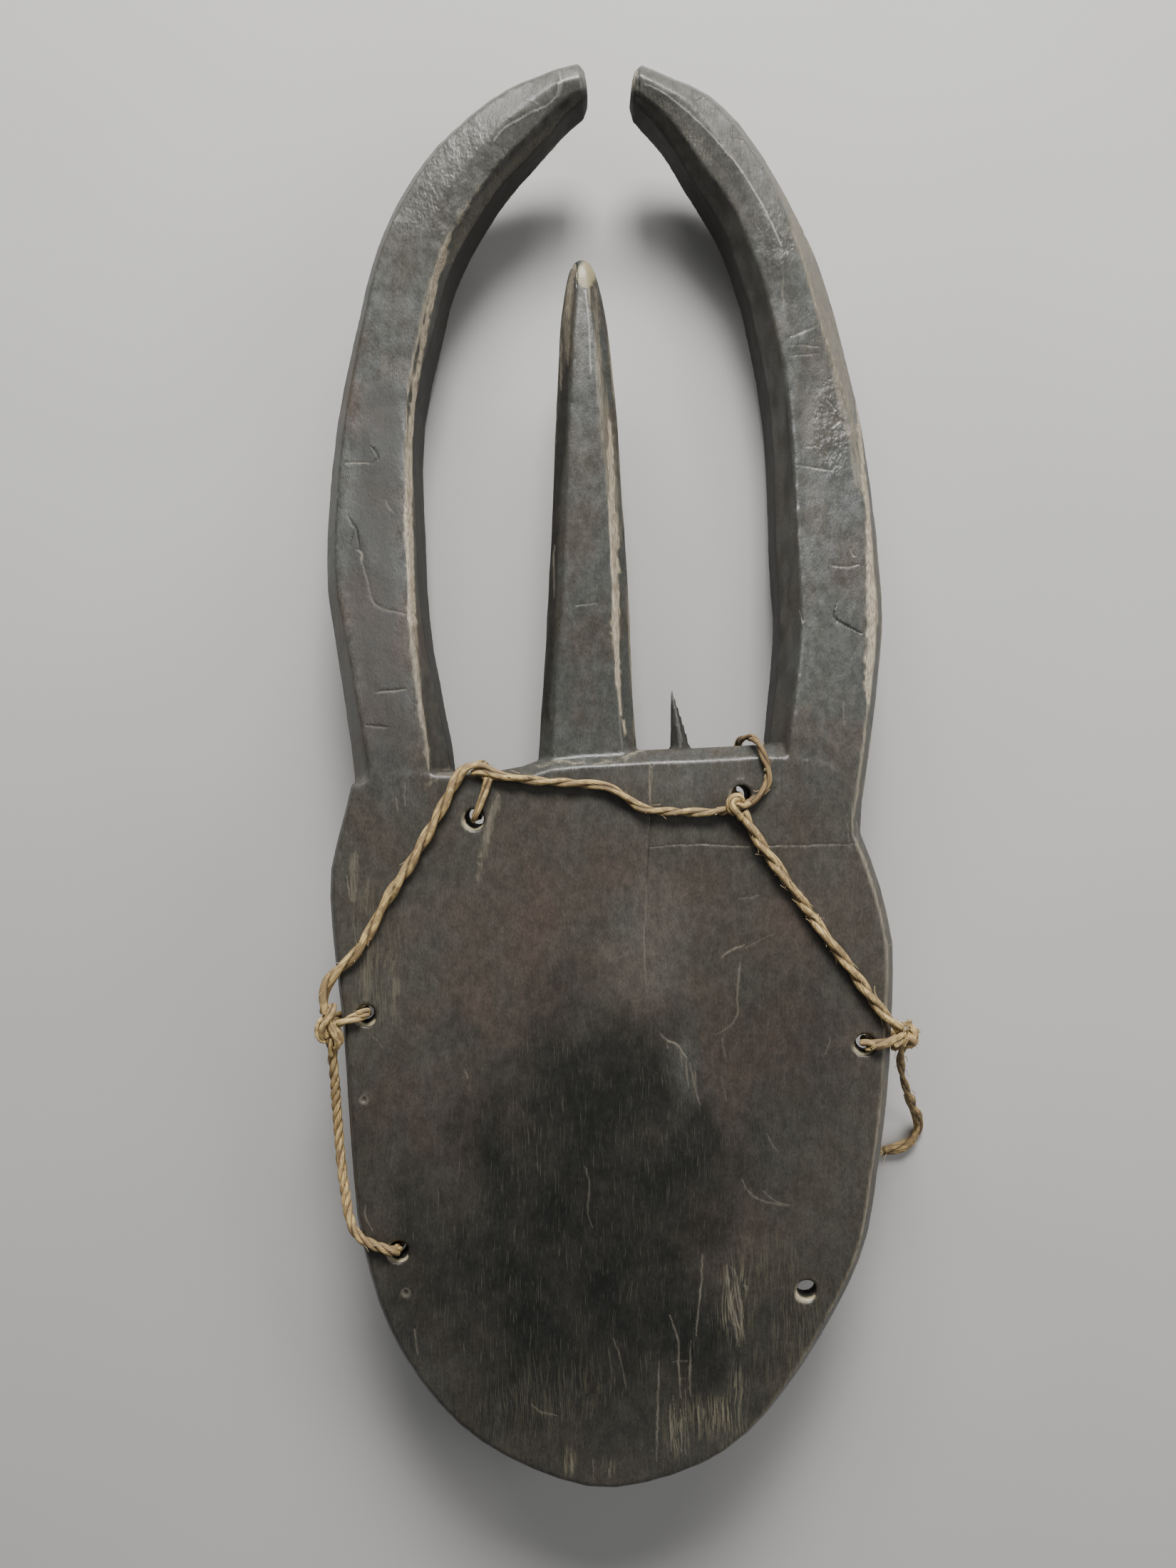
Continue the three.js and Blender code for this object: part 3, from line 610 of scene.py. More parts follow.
def make_knot(name, seed):
    middle = np.mean(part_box(name), axis=0)
    strands = Strands(seed)
    for width, route in KNOTS[name]["strands"]:
        line = smooth_route(middle + np.array(route) * MM, KNOT_STEP)
        if width > TWISTED_OVER:
            strands.add_twist(line, width * MM, 2, KNOT_PITCH, sides=KNOT_SIDES, taper=KNOT_TAPER)
        else:
            strands.add_tube(line, width / 2 * MM, KNOT_SIDES, ridges=KNOT_RIDGES, taper=KNOT_TAPER)
        strands.add_fuzz(line, width / 2 * MM, KNOT_FUZZ, longest=KNOT_FUZZ_LENGTH)
    if name == "right_knot":
        for place, heading, count, longest in TUFTS:
            strands.add_fray(middle + np.array(place) * MM, heading, count, longest * MM)
    piece = strands.build(name + "_tied")
    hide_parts(name)
    return piece


def make_tail_fray():
    """The loose fibres that the tail ends in."""
    line = cord_line("tail_cord")
    heading = unit(line[-1] - line[-6])
    fibres = Strands(TAIL_SEED)
    fibres.add_fray(line[-1] - heading * 2 * MM, heading, count=70, longest=8 * MM)
    return fibres.build("tail_fray")


def make_lacing():
    on_cord = {name: [] for name in CORDS}
    for i, (name, knot) in enumerate(KNOTS.items()):
        on_cord[knot["cord"]].append(make_knot(name, KNOT_SEED + i))
    for i, name in enumerate(STRAND_ENDS):
        on_cord[name].append(make_strand_ends(name, ENDS_SEED + i))
    on_cord["tail_cord"].append(make_tail_fray())
    pieces = [piece for group in on_cord.values() for piece in group]
    for i, (name, cord) in enumerate(CORDS.items()):
        piece, line = make_cord(name, CORD_SEED + i)
        pieces.append(piece)
    return pieces


lacing = make_lacing()


# The carved wood

VOXEL = 1.3 * MM
BROAD_TRIANGLES = 96_000  # before the mesh is refined beside the scratches and cracks
SNAP = 0.85  # how far the points go back to the CAD model's faces
SMOOTHING = 0.6
RELAXING = (SMOOTHING, -0.62)  # a step in, and a step out that keeps the form
FAR = 99.0


def seen_at(points):
    """The photograph's pixel in which each point is seen."""
    depth = BACK_Z + EYE_OVER_BACK - points[:, 2:3]
    spread = (points[:, :2] + MASK_MIDDLE[:2]) * EYE_OVER_BACK / depth / PIXEL
    return np.array(PHOTO_PIXELS) / 2 + spread * (1, -1)


def with_modifier(name, mesh, kind, **settings):
    """A new mesh: a mesh after one modifier."""
    worker = add_object(name, mesh)
    modifier = worker.modifiers.new(name, kind)
    for setting, value in settings.items():
        setattr(modifier, setting, value)
    graph = bpy.context.evaluated_depsgraph_get()
    result = bpy.data.meshes.new_from_object(worker.evaluated_get(graph))
    bpy.data.objects.remove(worker)
    return result


def fine_copy(node):
    """A mesh with small even faces in the shape of a CAD node."""
    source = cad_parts[node].data.copy()
    mesh = with_modifier("remesh", source, "REMESH", mode="VOXEL", voxel_size=VOXEL)
    mesh.materials.clear()
    return mesh


def lighter_copy(mesh, triangles):
    """The mesh with fewer triangles, most of them where it bends."""
    ratio = triangles / (2 * len(mesh.polygons))
    return with_modifier("decimate", mesh, "DECIMATE", ratio=ratio, use_collapse_triangulate=True)


class Surface:
    """The vertices of a mesh as arrays."""

    def __init__(self, mesh):
        self.mesh = mesh
        self.count = len(mesh.vertices)
        self.points = np.empty((self.count, 3))
        mesh.vertices.foreach_get("co", self.points.ravel())
        edges = np.empty((len(mesh.edges), 2), dtype=np.int32)
        mesh.edges.foreach_get("vertices", edges.ravel())
        self.one, self.two = edges.T
        self.degree = np.maximum(np.bincount(edges.ravel(), minlength=self.count), 1)
        self.find_normals()

    def mean_of_neighbours(self, values):
        columns = []
        for column in values.T:
            there = np.bincount(self.one, column[self.two], self.count)
            back = np.bincount(self.two, column[self.one], self.count)
            columns.append((there + back) / self.degree)
        return np.stack(columns, axis=1)

    def smoothed(self, values, rounds):
        for _ in range(rounds):
            values = values + SMOOTHING * (self.mean_of_neighbours(values) - values)
        return values

    def relax(self, rounds):
        """Takes the steps of the small faces away and keeps the form."""
        for _ in range(rounds):
            for strength in RELAXING:
                self.points = self.points + strength * (self.mean_of_neighbours(self.points) - self.points)
        self.find_normals()

    def snap(self, node):
        """Pulls the points back onto the CAD node's faces, which makes its ridges crisp again."""
        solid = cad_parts[node]
        nearest = np.array([solid.closest_point_on_mesh(point)[1] for point in self.points.tolist()])
        share = SNAP * (1 - strongest(seen_at(self.points), self.points, SOFT_PLACES, seed=80))
        self.points += share[:, None] * (nearest - self.points)
        self.find_normals()

    def find_normals(self):
        self.mesh.vertices.foreach_set("co", self.points.ravel())
        self.mesh.update()
        self.normals = np.empty((self.count, 3))
        self.mesh.vertex_normals.foreach_get("vector", self.normals.ravel())

    def push(self, heights):
        """Moves each point along its normal, and none under the floor."""
        self.points = self.points + self.normals * heights[:, None]
        self.points[:, 2] = np.clip(self.points[:, 2], 0, None)
        self.find_normals()


SCOOP_PLACES = (0.1, 0.9)  # where in its cell the middle of a cut may lie
OVAL_EDGE = (0.3, 1.3)  # where an oval starts to fade, and where it ends
RAGGED_CELLS = (22 * MM, 8 * MM)


def scoops(points, size, seed):
    """Shallow tool cuts side by side: 0 in the middle of a cut and about 1 on the ridges between them."""
    places = np.random.default_rng(seed).uniform(*SCOOP_PLACES, (LATTICE, LATTICE, LATTICE, 3))
    scaled = points / np.asarray(size, float)
    low = np.floor(scaled).astype(int)
    nearest = np.full(len(points), FAR)
    for step in np.ndindex(3, 3, 3):
        cell = low + np.array(step) - 1
        i, j, k = (cell % LATTICE).T
        away = ((cell + places[i, j, k] - scaled) ** 2).sum(axis=1)
        nearest = np.minimum(nearest, away)
    return nearest


def oval(pixels, place, size):
    """How far each pixel is from the middle of an oval, as a share of its half sizes."""
    return np.hypot(*((pixels - place) / size).T)


def patch(pixels, points, place, size, ragged, seed):
    """1 in the middle of a ragged oval of the photograph and 0 outside it."""
    broad, fine = (soft_noise(points, cell, seed + i) for i, cell in enumerate(RAGGED_CELLS))
    return 1 - ease(*OVAL_EDGE, oval(pixels, place, size) + ragged * (broad + 0.5 * fine))


def strongest(pixels, points, places, seed, ragged=0.3):
    """The strongest of some ragged ovals at each point. A place is its middle, its half sizes and, where
    it isn't 1, its amount."""
    most = np.zeros(len(points))
    for number, (place, size, *amount) in enumerate(places):
        share = patch(pixels, points, place, size, ragged, seed + number)
        most = np.maximum(most, amount[0] * share if amount else share)
    return most


def beside(pixels, route, widths, reach=1.3):
    """How far each pixel is from a line, as a share of the line's half width, which may change along it.
    Pixels that are more than the reach away are given as far."""
    route = np.array(route, float)
    widths = np.broadcast_to(widths, len(route))
    edge = widths.max() * reach
    nearest = np.full(len(pixels), FAR)
    low, high = route.min(axis=0) - edge, route.max(axis=0) + edge
    near = np.flatnonzero(((pixels > low) & (pixels < high)).all(axis=1))
    for a, b, wide_a, wide_b in zip(route[:-1], route[1:], widths[:-1], widths[1:]):
        step = b - a
        along = np.clip((pixels[near] - a) @ step / (step @ step), 0, 1)
        away = np.linalg.norm(pixels[near] - a - along[:, None] * step, axis=1)
        nearest[near] = np.minimum(nearest[near], away / (wide_a + along * (wide_b - wide_a)))
    return nearest


# Marks on the back of the mask. Places, routes and widths are in pixels of the photograph.

CROWN_Y = 1050  # the horns are above it and the board is below
HOLE_PLACES = [(665, 1149), (1040, 1116), (514, 1424), (1213, 1465), (560, 1756), (1132, 1811)]
NAIL_DENTS = [(511, 1543), (569, 1814)]
HOLE_EDGE = (15, 4)  # radius of a hole's edge, and how far its worn rim reaches from it
DENT_REACH = 7
MIDDLE_HORN_TIP = ((822, 386), (15, 20))  # its middle and half sizes
SPIKE = ((955, 1005), (34, 60))
SOFT_PLACES = [((535, 1098), (95, 40))]  # places without a crisp ridge

# Strips where the patina is worn off, and one painted highlight along the crown's bevel: route, half widths,
# how much of it

WORN_AND_HIGHLIGHT_STRIPS = [
    (
        [(628, 338), (609, 400), (596, 470), (583, 540), (575, 620), (573, 720), (576, 790), (578, 870)],
        [4, 5.5, 4, 4, 5, 6.5, 6.5, 8],
        1,
    ),
    ([(578, 870), (583, 925), (588, 985), (594, 1055)], [8, 8, 5, 2], 0.6),
    (
        [
            (853, 585), (857, 620), (858, 692), (862, 760), (864, 854), (866, 941), (872, 1000),
            (880, 1040),
        ],
        [1.5, 3, 4.5, 7, 6, 4, 2.5, 1.5],
        1,
    ),
    (
        [(836, 405), (840, 516), (850, 586), (856, 656), (860, 692), (866, 760)],
        [5, 8, 11, 11, 11, 8],
        0.5,
    ),
    ([(806, 374), (801, 400), (797, 440)], [5, 6, 6], 0.62),
    ([(892, 100), (886, 122), (884, 142)], [4, 4, 4], 0.66),
    ([(913, 1075), (912, 1135)], [4, 3], 0.5),
    ([(697, 1112), (691, 1145), (685, 1170), (676, 1197), (667, 1238)], [7, 8, 8, 7, 4], 0.5),
    ([(497, 1200), (496, 1262)], [9, 6], 0.44),
    ([(515, 1230), (512, 1300)], [6, 5], 0.4),
    ([(520, 1310), (514, 1400)], [10, 7], 0.42),
    ([(553, 1347), (556, 1390), (552, 1435)], [6, 7, 5], 0.46),
    (
        [(1202, 557), (1209, 638), (1217, 708), (1220, 780), (1223, 830), (1221, 930), (1218, 985)],
        [2.5, 3, 4, 6, 8, 8, 4],
        0.9,
    ),
    (
        [
            (1070, 210), (1098, 262), (1125, 330), (1146, 400), (1164, 460), (1180, 530), (1196, 610),
            (1206, 690),
        ],
        [7, 10, 14, 16, 18, 18, 12, 6],
        0.5,
    ),
    (
        [(812, 143), (770, 184), (735, 216), (702, 250), (672, 290), (648, 328), (630, 368)],
        [6, 9, 10, 11, 12, 12, 8],
        0.44,
    ),
    (
        [
            (1222, 1215), (1237, 1255), (1245, 1330), (1250, 1400), (1244, 1500), (1236, 1580),
            (1226, 1660),
        ],
        [2, 3, 3, 3, 3, 3, 2],
        0.38,
    ),
    # A painted highlight line along the bevel of the crown's edge
    (
        [(730, 1087), (826, 1075), (868, 1068), (938, 1072), (1005, 1068), (1061, 1058)],
        [1.5, 2, 2.5, 2, 2, 1.5],
        0.4,
    ),
    ([(752, 1076), (780, 1068), (830, 1071), (876, 1064), (902, 1051)], [4, 4, 3, 4, 4], 0.6),
    ([(594, 1104), (612, 1092), (640, 1076)], [4, 7, 8], 0.46),
    ([(832, 425), (842, 500), (850, 575)], [4, 6, 4], 0.35),
    ([(799, 400), (795, 450), (797, 510)], [7, 7, 3], 0.5),
]

# Scratches and cracks: route, width, paleness from 1 to -1 for a dark one, depth in millimetres

SCRATCHES = [
    ([(914, 1072), (912, 1160), (907, 1240)], 1.6, -0.45, 0.22),
    ([(907, 1240), (904, 1325), (908, 1400)], 1.2, 0.4, 0.04),
    ([(910, 1189), (970, 1185), (1035, 1187), (1120, 1186), (1205, 1184)], 1.6, 0.5, 0.28),
    ([(788, 455), (787, 500), (787, 548)], 2.4, 0.5, 0.1),
    ([(781, 580), (779, 622)], 2.2, 0.5, 0.1),
    ([(778, 765), (777, 800), (778, 838)], 2.4, 0.5, 0.1),
    ([(896, 95), (897, 120), (895, 140)], 2, -0.6, 0.2),
    ([(1012, 1342), (1022, 1335), (1045, 1325)], 2.6, 0.8, 0.15),
    ([(1045, 1330), (1085, 1310)], 1.5, 0.35, 0.05),
    ([(1040, 1340), (1035, 1390), (1032, 1430), (1005, 1452)], 1.8, 0.5, 0.1),
    ([(1037, 1260), (1050, 1260), (1065, 1256)], 1.6, 0.4, 0.1),
    ([(1012, 1455), (1020, 1490)], 1.8, 0.4, 0.1),
    ([(1012, 1510), (1020, 1545)], 1.8, 0.4, 0.1),
    ([(927, 1450), (938, 1461), (949, 1464), (963, 1484)], 2.4, 0.75, 0.15),
    ([(963, 1484), (964, 1505), (966, 1525)], 2.2, 0.55, 0.1),
    ([(968, 1490), (974, 1520), (982, 1552)], 2.2, 0.55, 0.1),
    ([(975, 1500), (976, 1516), (978, 1530)], 1.8, 0.45, 0.08),
    ([(956, 1482), (958, 1502)], 1.6, 0.35, 0.06),
    ([(936, 1460), (937, 1471)], 2, 0.6, 0.1),
    ([(949, 1465), (951, 1475)], 2, 0.6, 0.1),
    ([(956, 1474), (957, 1484)], 2, 0.6, 0.1),
    ([(1042, 1803), (1049, 1806), (1048, 1811)], 1.6, 0.6, 0.12),
    ([(1016, 1778), (1022, 1825), (1034, 1880)], 1.6, 0.5, 0.08),
    ([(1026, 1776), (1034, 1822), (1046, 1884)], 1.6, 0.45, 0.08),
    ([(1022, 1800), (1030, 1850), (1038, 1890)], 1.4, 0.4, 0.08),
    ([(945, 1958), (947, 2030)], 1.6, 0.4, 0.08),
    ([(962, 1950), (961, 2040)], 1.8, 0.45, 0.08),
    ([(985, 1965), (984, 2015)], 1.6, 0.4, 0.08),
    ([(1008, 1960), (1007, 2008)], 1.6, 0.4, 0.08),
    ([(652, 1500), (657, 1512)], 2.4, 0.8, 0.2),
    ([(525, 1455), (537, 1470)], 2.2, 0.5, 0.1),
    ([(1165, 1455), (1158, 1478)], 2, 0.45, 0.1),
    ([(487, 1228), (492, 1262)], 3, 0.5, 0.2),
    ([(498, 1225), (499, 1250)], 2.2, 0.45, 0.15),
    ([(496, 1296), (500, 1322)], 3, 0.4, 0.15),
    ([(985, 1760), (984, 1800), (980, 1840), (977, 1875)], 1.8, 0.6, 0.12),
    ([(1020, 1775), (1024, 1815), (1036, 1862)], 3, 0.6, 0.1),
    ([(1030, 1780), (1038, 1820), (1042, 1862)], 2.6, 0.6, 0.1),
    ([(925, 1910), (923, 1980), (922, 2050)], 2, 0.6, 0.1),
    ([(940, 1970), (942, 2035)], 4, 0.5, 0.1),
    ([(955, 1978), (956, 2036)], 3.4, 0.55, 0.1),
    ([(980, 1972), (981, 2020)], 4, 0.45, 0.1),
    ([(998, 1968), (1000, 2004)], 3, 0.4, 0.1),
    ([(1015, 1975), (1014, 2000)], 3, 0.4, 0.1),
    ([(940, 1845), (947, 1865), (952, 1885), (952, 1910), (955, 1960)], 2.4, 0.55, 0.25),
    ([(945, 1911), (965, 1909)], 1.8, 0.5, 0.15),
    ([(951, 1935), (962, 1934)], 1.6, 0.4, 0.15),
    ([(970, 1880), (968, 1912), (969, 1960)], 2, 0.5, 0.12),
    ([(820, 1635), (827, 1660), (825, 1700), (832, 1722)], 1.5, 0.35, 0.1),
    ([(1040, 1655), (1060, 1680), (1105, 1692)], 2, 0.45, 0.1),
    ([(1070, 1670), (1090, 1686), (1110, 1691)], 1.8, 0.4, 0.1),
    ([(860, 1875), (870, 1905), (880, 1950)], 2, 0.3, 0.1),
    ([(800, 2040), (805, 2066)], 4, 0.5, 0.15),
    ([(832, 2048), (833, 2075)], 3.4, 0.45, 0.15),
    ([(857, 2050), (856, 2072)], 3, 0.45, 0.15),
    ([(745, 1970), (760, 1981), (782, 1986)], 1.8, 0.35, 0.1),
    ([(582, 1865), (586, 1898)], 5, 0.5, 0.15),
    ([(512, 1690), (514, 1710), (523, 1727)], 2, 0.45, 0.1),
    ([(1075, 1590), (1084, 1606), (1092, 1616)], 2, 0.5, 0.1),
    ([(1190, 1155), (1192, 1184)], 2.4, 0.45, 0.15),
    ([(1203, 1152), (1204, 1184)], 2.4, 0.4, 0.15),
    ([(485, 649), (519, 650)], 2.6, 0.75, 0.15),
    ([(489, 725), (500, 745), (504, 770)], 2.2, -0.6, 0.3),
    ([(497, 742), (490, 765)], 1.8, -0.6, 0.3),
    ([(500, 771), (508, 776), (507, 790)], 3.4, 0.65, 0.15),
    ([(520, 625), (530, 640), (522, 650)], 2.4, -0.4, 0.3),
    ([(509, 790), (515, 812), (524, 845), (536, 853), (569, 861)], 2.4, 0.3, 0.15),
    ([(528, 971), (550, 969), (570, 967)], 2.6, 0.5, 0.35),
    ([(515, 1017), (530, 1019), (544, 1020)], 2, -0.5, 0.3),
    ([(569, 1097), (568, 1130)], 2.6, 0.5, 0.2),
    ([(556, 1119), (558, 1134)], 3, 0.4, 0.3),
    ([(541, 700), (546, 712), (552, 718)], 1.8, 0.35, 0.1),
    ([(807, 849), (838, 846)], 2.2, 0.5, 0.15),
    ([(809, 369), (810, 402)], 2, -0.9, 0.4),
    ([(1108, 473), (1125, 466), (1145, 458)], 1.8, 0.6, 0.12),
    ([(1110, 484), (1147, 486)], 1.6, 0.45, 0.12),
    ([(1108, 500), (1150, 496)], 1.8, 0.65, 0.12),
    ([(1131, 626), (1151, 628)], 1.8, 0.65, 0.12),
    ([(1115, 652), (1140, 656), (1169, 660)], 1.8, 0.5, 0.12),
    ([(1166, 793), (1185, 796), (1205, 792)], 2.2, 0.45, 0.15),
    ([(1174, 845), (1171, 865), (1186, 876), (1208, 889)], 2.2, -0.9, 0.45),
    ([(1183, 982), (1184, 1016)], 2.6, 0.45, 0.15),
    ([(1122, 855), (1126, 872)], 3, 0.5, 0.15),
    ([(1160, 560), (1172, 575)], 4, 0.55, 0.25),
    ([(1168, 600), (1180, 590), (1190, 608)], 4, 0.55, 0.25),
    ([(1158, 632), (1168, 648)], 4, 0.5, 0.25),
    ([(1192, 770), (1198, 780)], 6, 0.5, 0.2),
    ([(1100, 380), (1098, 410), (1102, 440)], 1.8, 0.35, 0.05),
    ([(977, 143), (985, 138)], 4, 0.6, 0.2),
    ([(993, 152), (1000, 155)], 3, 0.6, 0.2),
    ([(1022, 170), (1030, 173)], 3, 0.7, 0.2),
    ([(1030, 194), (1042, 198)], 4, 0.6, 0.2),
    ([(1052, 206), (1060, 214)], 3, 0.7, 0.2),
    ([(1127, 326), (1132, 333)], 4, 0.6, 0.2),
]

# Lines painted pale as a highlight along ridges of the horns and the spike: route, width and paleness

HIGHLIGHT_RIDGES = [
    (
        [
            (905, 118), (925, 127), (952, 146), (985, 176), (1010, 203), (1030, 226), (1052, 258),
            (1072, 292), (1097, 345),
        ],
        1.8,
        1,
    ),
    ([(784, 116), (782, 132), (766, 149), (750, 155), (722, 171), (706, 181), (693, 197)], 1.8, 1),
    ([(785, 100), (787, 116), (784, 136)], 1.6, 0.8),
    ([(738, 139), (754, 145)], 1.4, 0.4),
    ([(941, 969), (946, 988), (957, 1040)], 2, 0.25),
    ([(821, 410), (825, 440), (829, 523)], 2, 0.7),
]

# Places scraped by many fine strokes down the board: middle, half sizes, how much

SCRAPED_PLACES = [
    ((1032, 1830), (24, 60), 0.8), ((1037, 1950), (16, 46), 0.7), ((1003, 1984), (40, 36), 1),
    ((954, 2003), (24, 44), 1), ((797, 2052), (14, 24), 0.8), ((855, 2058), (12, 18), 0.8),
    ((770, 1960), (120, 70), 0.22), ((1080, 1760), (60, 60), 0.25), ((1120, 1880), (60, 90), 0.3),
    ((520, 1350), (40, 120), 0.4),
]

# Strips painted darker as shade on the horns and the spike: route, half widths, how much

SHADED_STRIPS = [
    (
        [(797, 510), (791, 551), (787, 621), (781, 692), (778, 760), (774, 885), (765, 1010)],
        [4, 7, 9, 8, 7, 6, 6],
        0.9,
    ),
    ([(535, 560), (528, 660), (520, 760), (528, 880), (545, 1040)], [26, 34, 38, 40, 40], 0.52),
    ([(943, 985), (956, 1040)], [14, 17], 0.55),
]

# Places painted with a grey sheen: middle and half sizes

SHEEN_PLACES = [
    ((962, 1492), (26, 46)), ((812, 620), (16, 60)), ((815, 460), (12, 60)), ((905, 1300), (60, 120)),
    ((980, 1090), (120, 26)), ((640, 250), (90, 110)),
]

# Teeth that a comb of tool marks left beside the right horn's ridge: first and last, number and stroke

COMB_TEETH = [((906, 124), (950, 152), 8, (3, 13)), ((962, 168), (1000, 206), 9, (-3, 24))]

for first, last, count, stroke in COMB_TEETH:
    for tooth in np.linspace(first, last, count):
        SCRATCHES.append(([tuple(tooth), tuple(tooth + stroke)], 1.5, 0.6, 0.15))

# Reddish places: middle and half sizes

RED_PATCHES = [
    ((790, 1240), (120, 60)), ((720, 1290), (110, 60)), ((830, 1365), (190, 60)),
    ((680, 1420), (130, 60)), ((930, 1260), (80, 60)), ((1140, 1290), (60, 50)),
    ((1090, 1465), (120, 90)), ((1020, 1510), (50, 110)), ((640, 1560), (110, 70)),
    ((1000, 1720), (90, 60)), ((963, 1924), (12, 44)), ((510, 890), (44, 115)), ((570, 885), (30, 70)),
    ((520, 1000), (30, 60)), ((500, 570), (40, 40)),
]

# Places painted near black, mostly over the middle and lower board: middle, half sizes and how dark

DARK_PATCHES = [
    ((825, 1640), (260, 260), 0.92), ((820, 1850), (300, 200), 1), ((880, 1530), (110, 130), 0.92),
    ((825, 1770), (280, 260), 1), ((825, 1850), (430, 330), 0.55), ((1090, 1500), (150, 170), 0.36),
    ((540, 1700), (120, 230), 0.36),
]

# Ridges that the tool left: route, half width, height in millimetres

TOOL_RIDGES = [
    ([(788, 112), (778, 136), (757, 146), (733, 158), (712, 168), (698, 185), (690, 215)], 26, 0.8),
    ([(904, 114), (940, 137), (982, 173), (1009, 200), (1030, 224), (1063, 275), (1090, 329)], 22, 0.7),
    (
        [(1100, 360), (1098, 410), (1102, 440), (1108, 485), (1113, 540), (1114, 620), (1118, 720)],
        14,
        0.5,
    ),
    ([(811, 425), (806, 511), (794, 631)], 10, 0.3),
]

ROUGH_PATCHES = [((650, 240), (110, 110)), ((1092, 335), (38, 50)), ((1172, 610), (30, 70))]


# Tool marks and waves in the wood: sizes across, along and in depth, and heights in millimetres

WIDE_CUTS = (12 * MM, 22 * MM, 12 * MM)
SMALL_CUTS = (4.5 * MM, 7 * MM, 4.5 * MM)
LONG_WAVES = (26 * MM, 60 * MM, 26 * MM)
SHORT_WAVES = (9 * MM, 30 * MM, 9 * MM)
LONG_WAVE_HEIGHT, SHORT_WAVE_HEIGHT = 0.22, 0.1
HORN_CUTS, BOARD_CUTS, FRONT_CUTS = 0.5, 0.08, 0.3
SMALL_CUT_HEIGHT, ROUGH_CUT_HEIGHT = 0.08, 0.42
MIDDLE_OF_CUT = 0.3  # the height in a cut at which it neither digs in nor stands out


def on_spike(pixels):
    return 1 - ease(0.9, 1.3, oval(pixels, *SPIKE))


def shape_wood(surface):
    """Tool marks and waves, as real relief."""
    points = surface.points
    pixels = seen_at(points)
    up = surface.normals[:, 2]
    horns = 1 - ease(CROWN_Y - 20, CROWN_Y + 30, pixels[:, 1])
    back = ease(0.1, 0.5, up)
    flat_back = ease(0.93, 0.99, up) * (1 - horns)
    front = ease(0.2, 0.6, -up)
    wide = scoops(points, WIDE_CUTS, seed=3) - MIDDLE_OF_CUT
    small = scoops(points, SMALL_CUTS, seed=4) - MIDDLE_OF_CUT
    height = LONG_WAVE_HEIGHT * MM * soft_noise(points, LONG_WAVES, seed=5)
    height += SHORT_WAVE_HEIGHT * MM * soft_noise(points, SHORT_WAVES, seed=6)
    height += wide * MM * (HORN_CUTS * horns + BOARD_CUTS * flat_back + FRONT_CUTS * front * (1 - horns))
    rough = strongest(pixels, points, ROUGH_PATCHES, seed=90) * back
    height += small * MM * (SMALL_CUT_HEIGHT + ROUGH_CUT_HEIGHT * rough) * (1 - flat_back)
    height *= 1 - 0.9 * on_spike(pixels)
    for route, width, tall in TOOL_RIDGES:
        height += tall * MM * back * np.clip(1 - beside(pixels, route, width), 0, 1)
    surface.push(height)
    store(surface.mesh, "rough", rough)
    flat = surface.smoothed(surface.points, 14)
    bulge = ((surface.points - flat) * surface.normals).sum(axis=1)
    store(surface.mesh, "bulge", surface.smoothed(bulge[:, None], 2) / MM)


def read_values(mesh, name):
    values = np.empty(len(mesh.vertices), dtype=np.float32)
    mesh.attributes[name].data.foreach_get("value", values)
    return values


FINE_EDGE = 0.75 * MM
BROAD_EDGE = 4.5 * MM
SIDE_EDGE = 7.2 * MM  # on the sides and the front
GROWTH = 0.95  # how fast a side may grow with the way to the nearest scratch
SPLIT_ROUNDS = 7


def longest_side(points, up):
    """The longest side that a triangle may have at each point, which is short beside a scratch or a hole."""
    pixels = seen_at(points)
    reach = BROAD_EDGE / GROWTH / PIXEL
    nearest = np.full(len(points), FAR)
    for route, width, *_ in SCRATCHES + HIGHLIGHT_RIDGES:
        nearest = np.minimum(nearest, beside(pixels, route, 1.0, reach) - width / 2 - 0.5)
    for place in NAIL_DENTS:
        nearest = np.minimum(nearest, np.linalg.norm(pixels - place, axis=1) - DENT_REACH)
    radius, rim = HOLE_EDGE
    for place in HOLE_PLACES:
        nearest = np.minimum(nearest, np.abs(np.linalg.norm(pixels - place, axis=1) - radius) - rim)
    limit = FINE_EDGE + GROWTH * np.clip(nearest, 0, None) * PIXEL
    return np.where(up > 0.1, np.minimum(limit, BROAD_EDGE), SIDE_EDGE)


def refined(points, triangles):
    """Splits the triangles that are too broad. A row of points holds a place, the normal's rise and more."""
    for _ in range(SPLIT_ROUNDS):
        sides = np.concatenate([triangles[:, [0, 1]], triangles[:, [1, 2]], triangles[:, [2, 0]]])
        keys = sides.min(axis=1).astype(np.int64) * len(points) + sides.max(axis=1)
        keys, which = np.unique(keys, return_inverse=True)
        one, two = keys // len(points), keys % len(points)
        long = np.linalg.norm(points[one, :3] - points[two, :3], axis=1)
        middles = (points[one] + points[two]) / 2
        split = long > longest_side(middles[:, :3], middles[:, 3])
        if not split.any():
            break
        names = np.full(len(keys), -1)
        names[split] = len(points) + np.arange(split.sum())
        points = np.concatenate([points, middles[split]])
        triangles = split_triangles(triangles, names[which].reshape(3, -1).T)
    return points, triangles


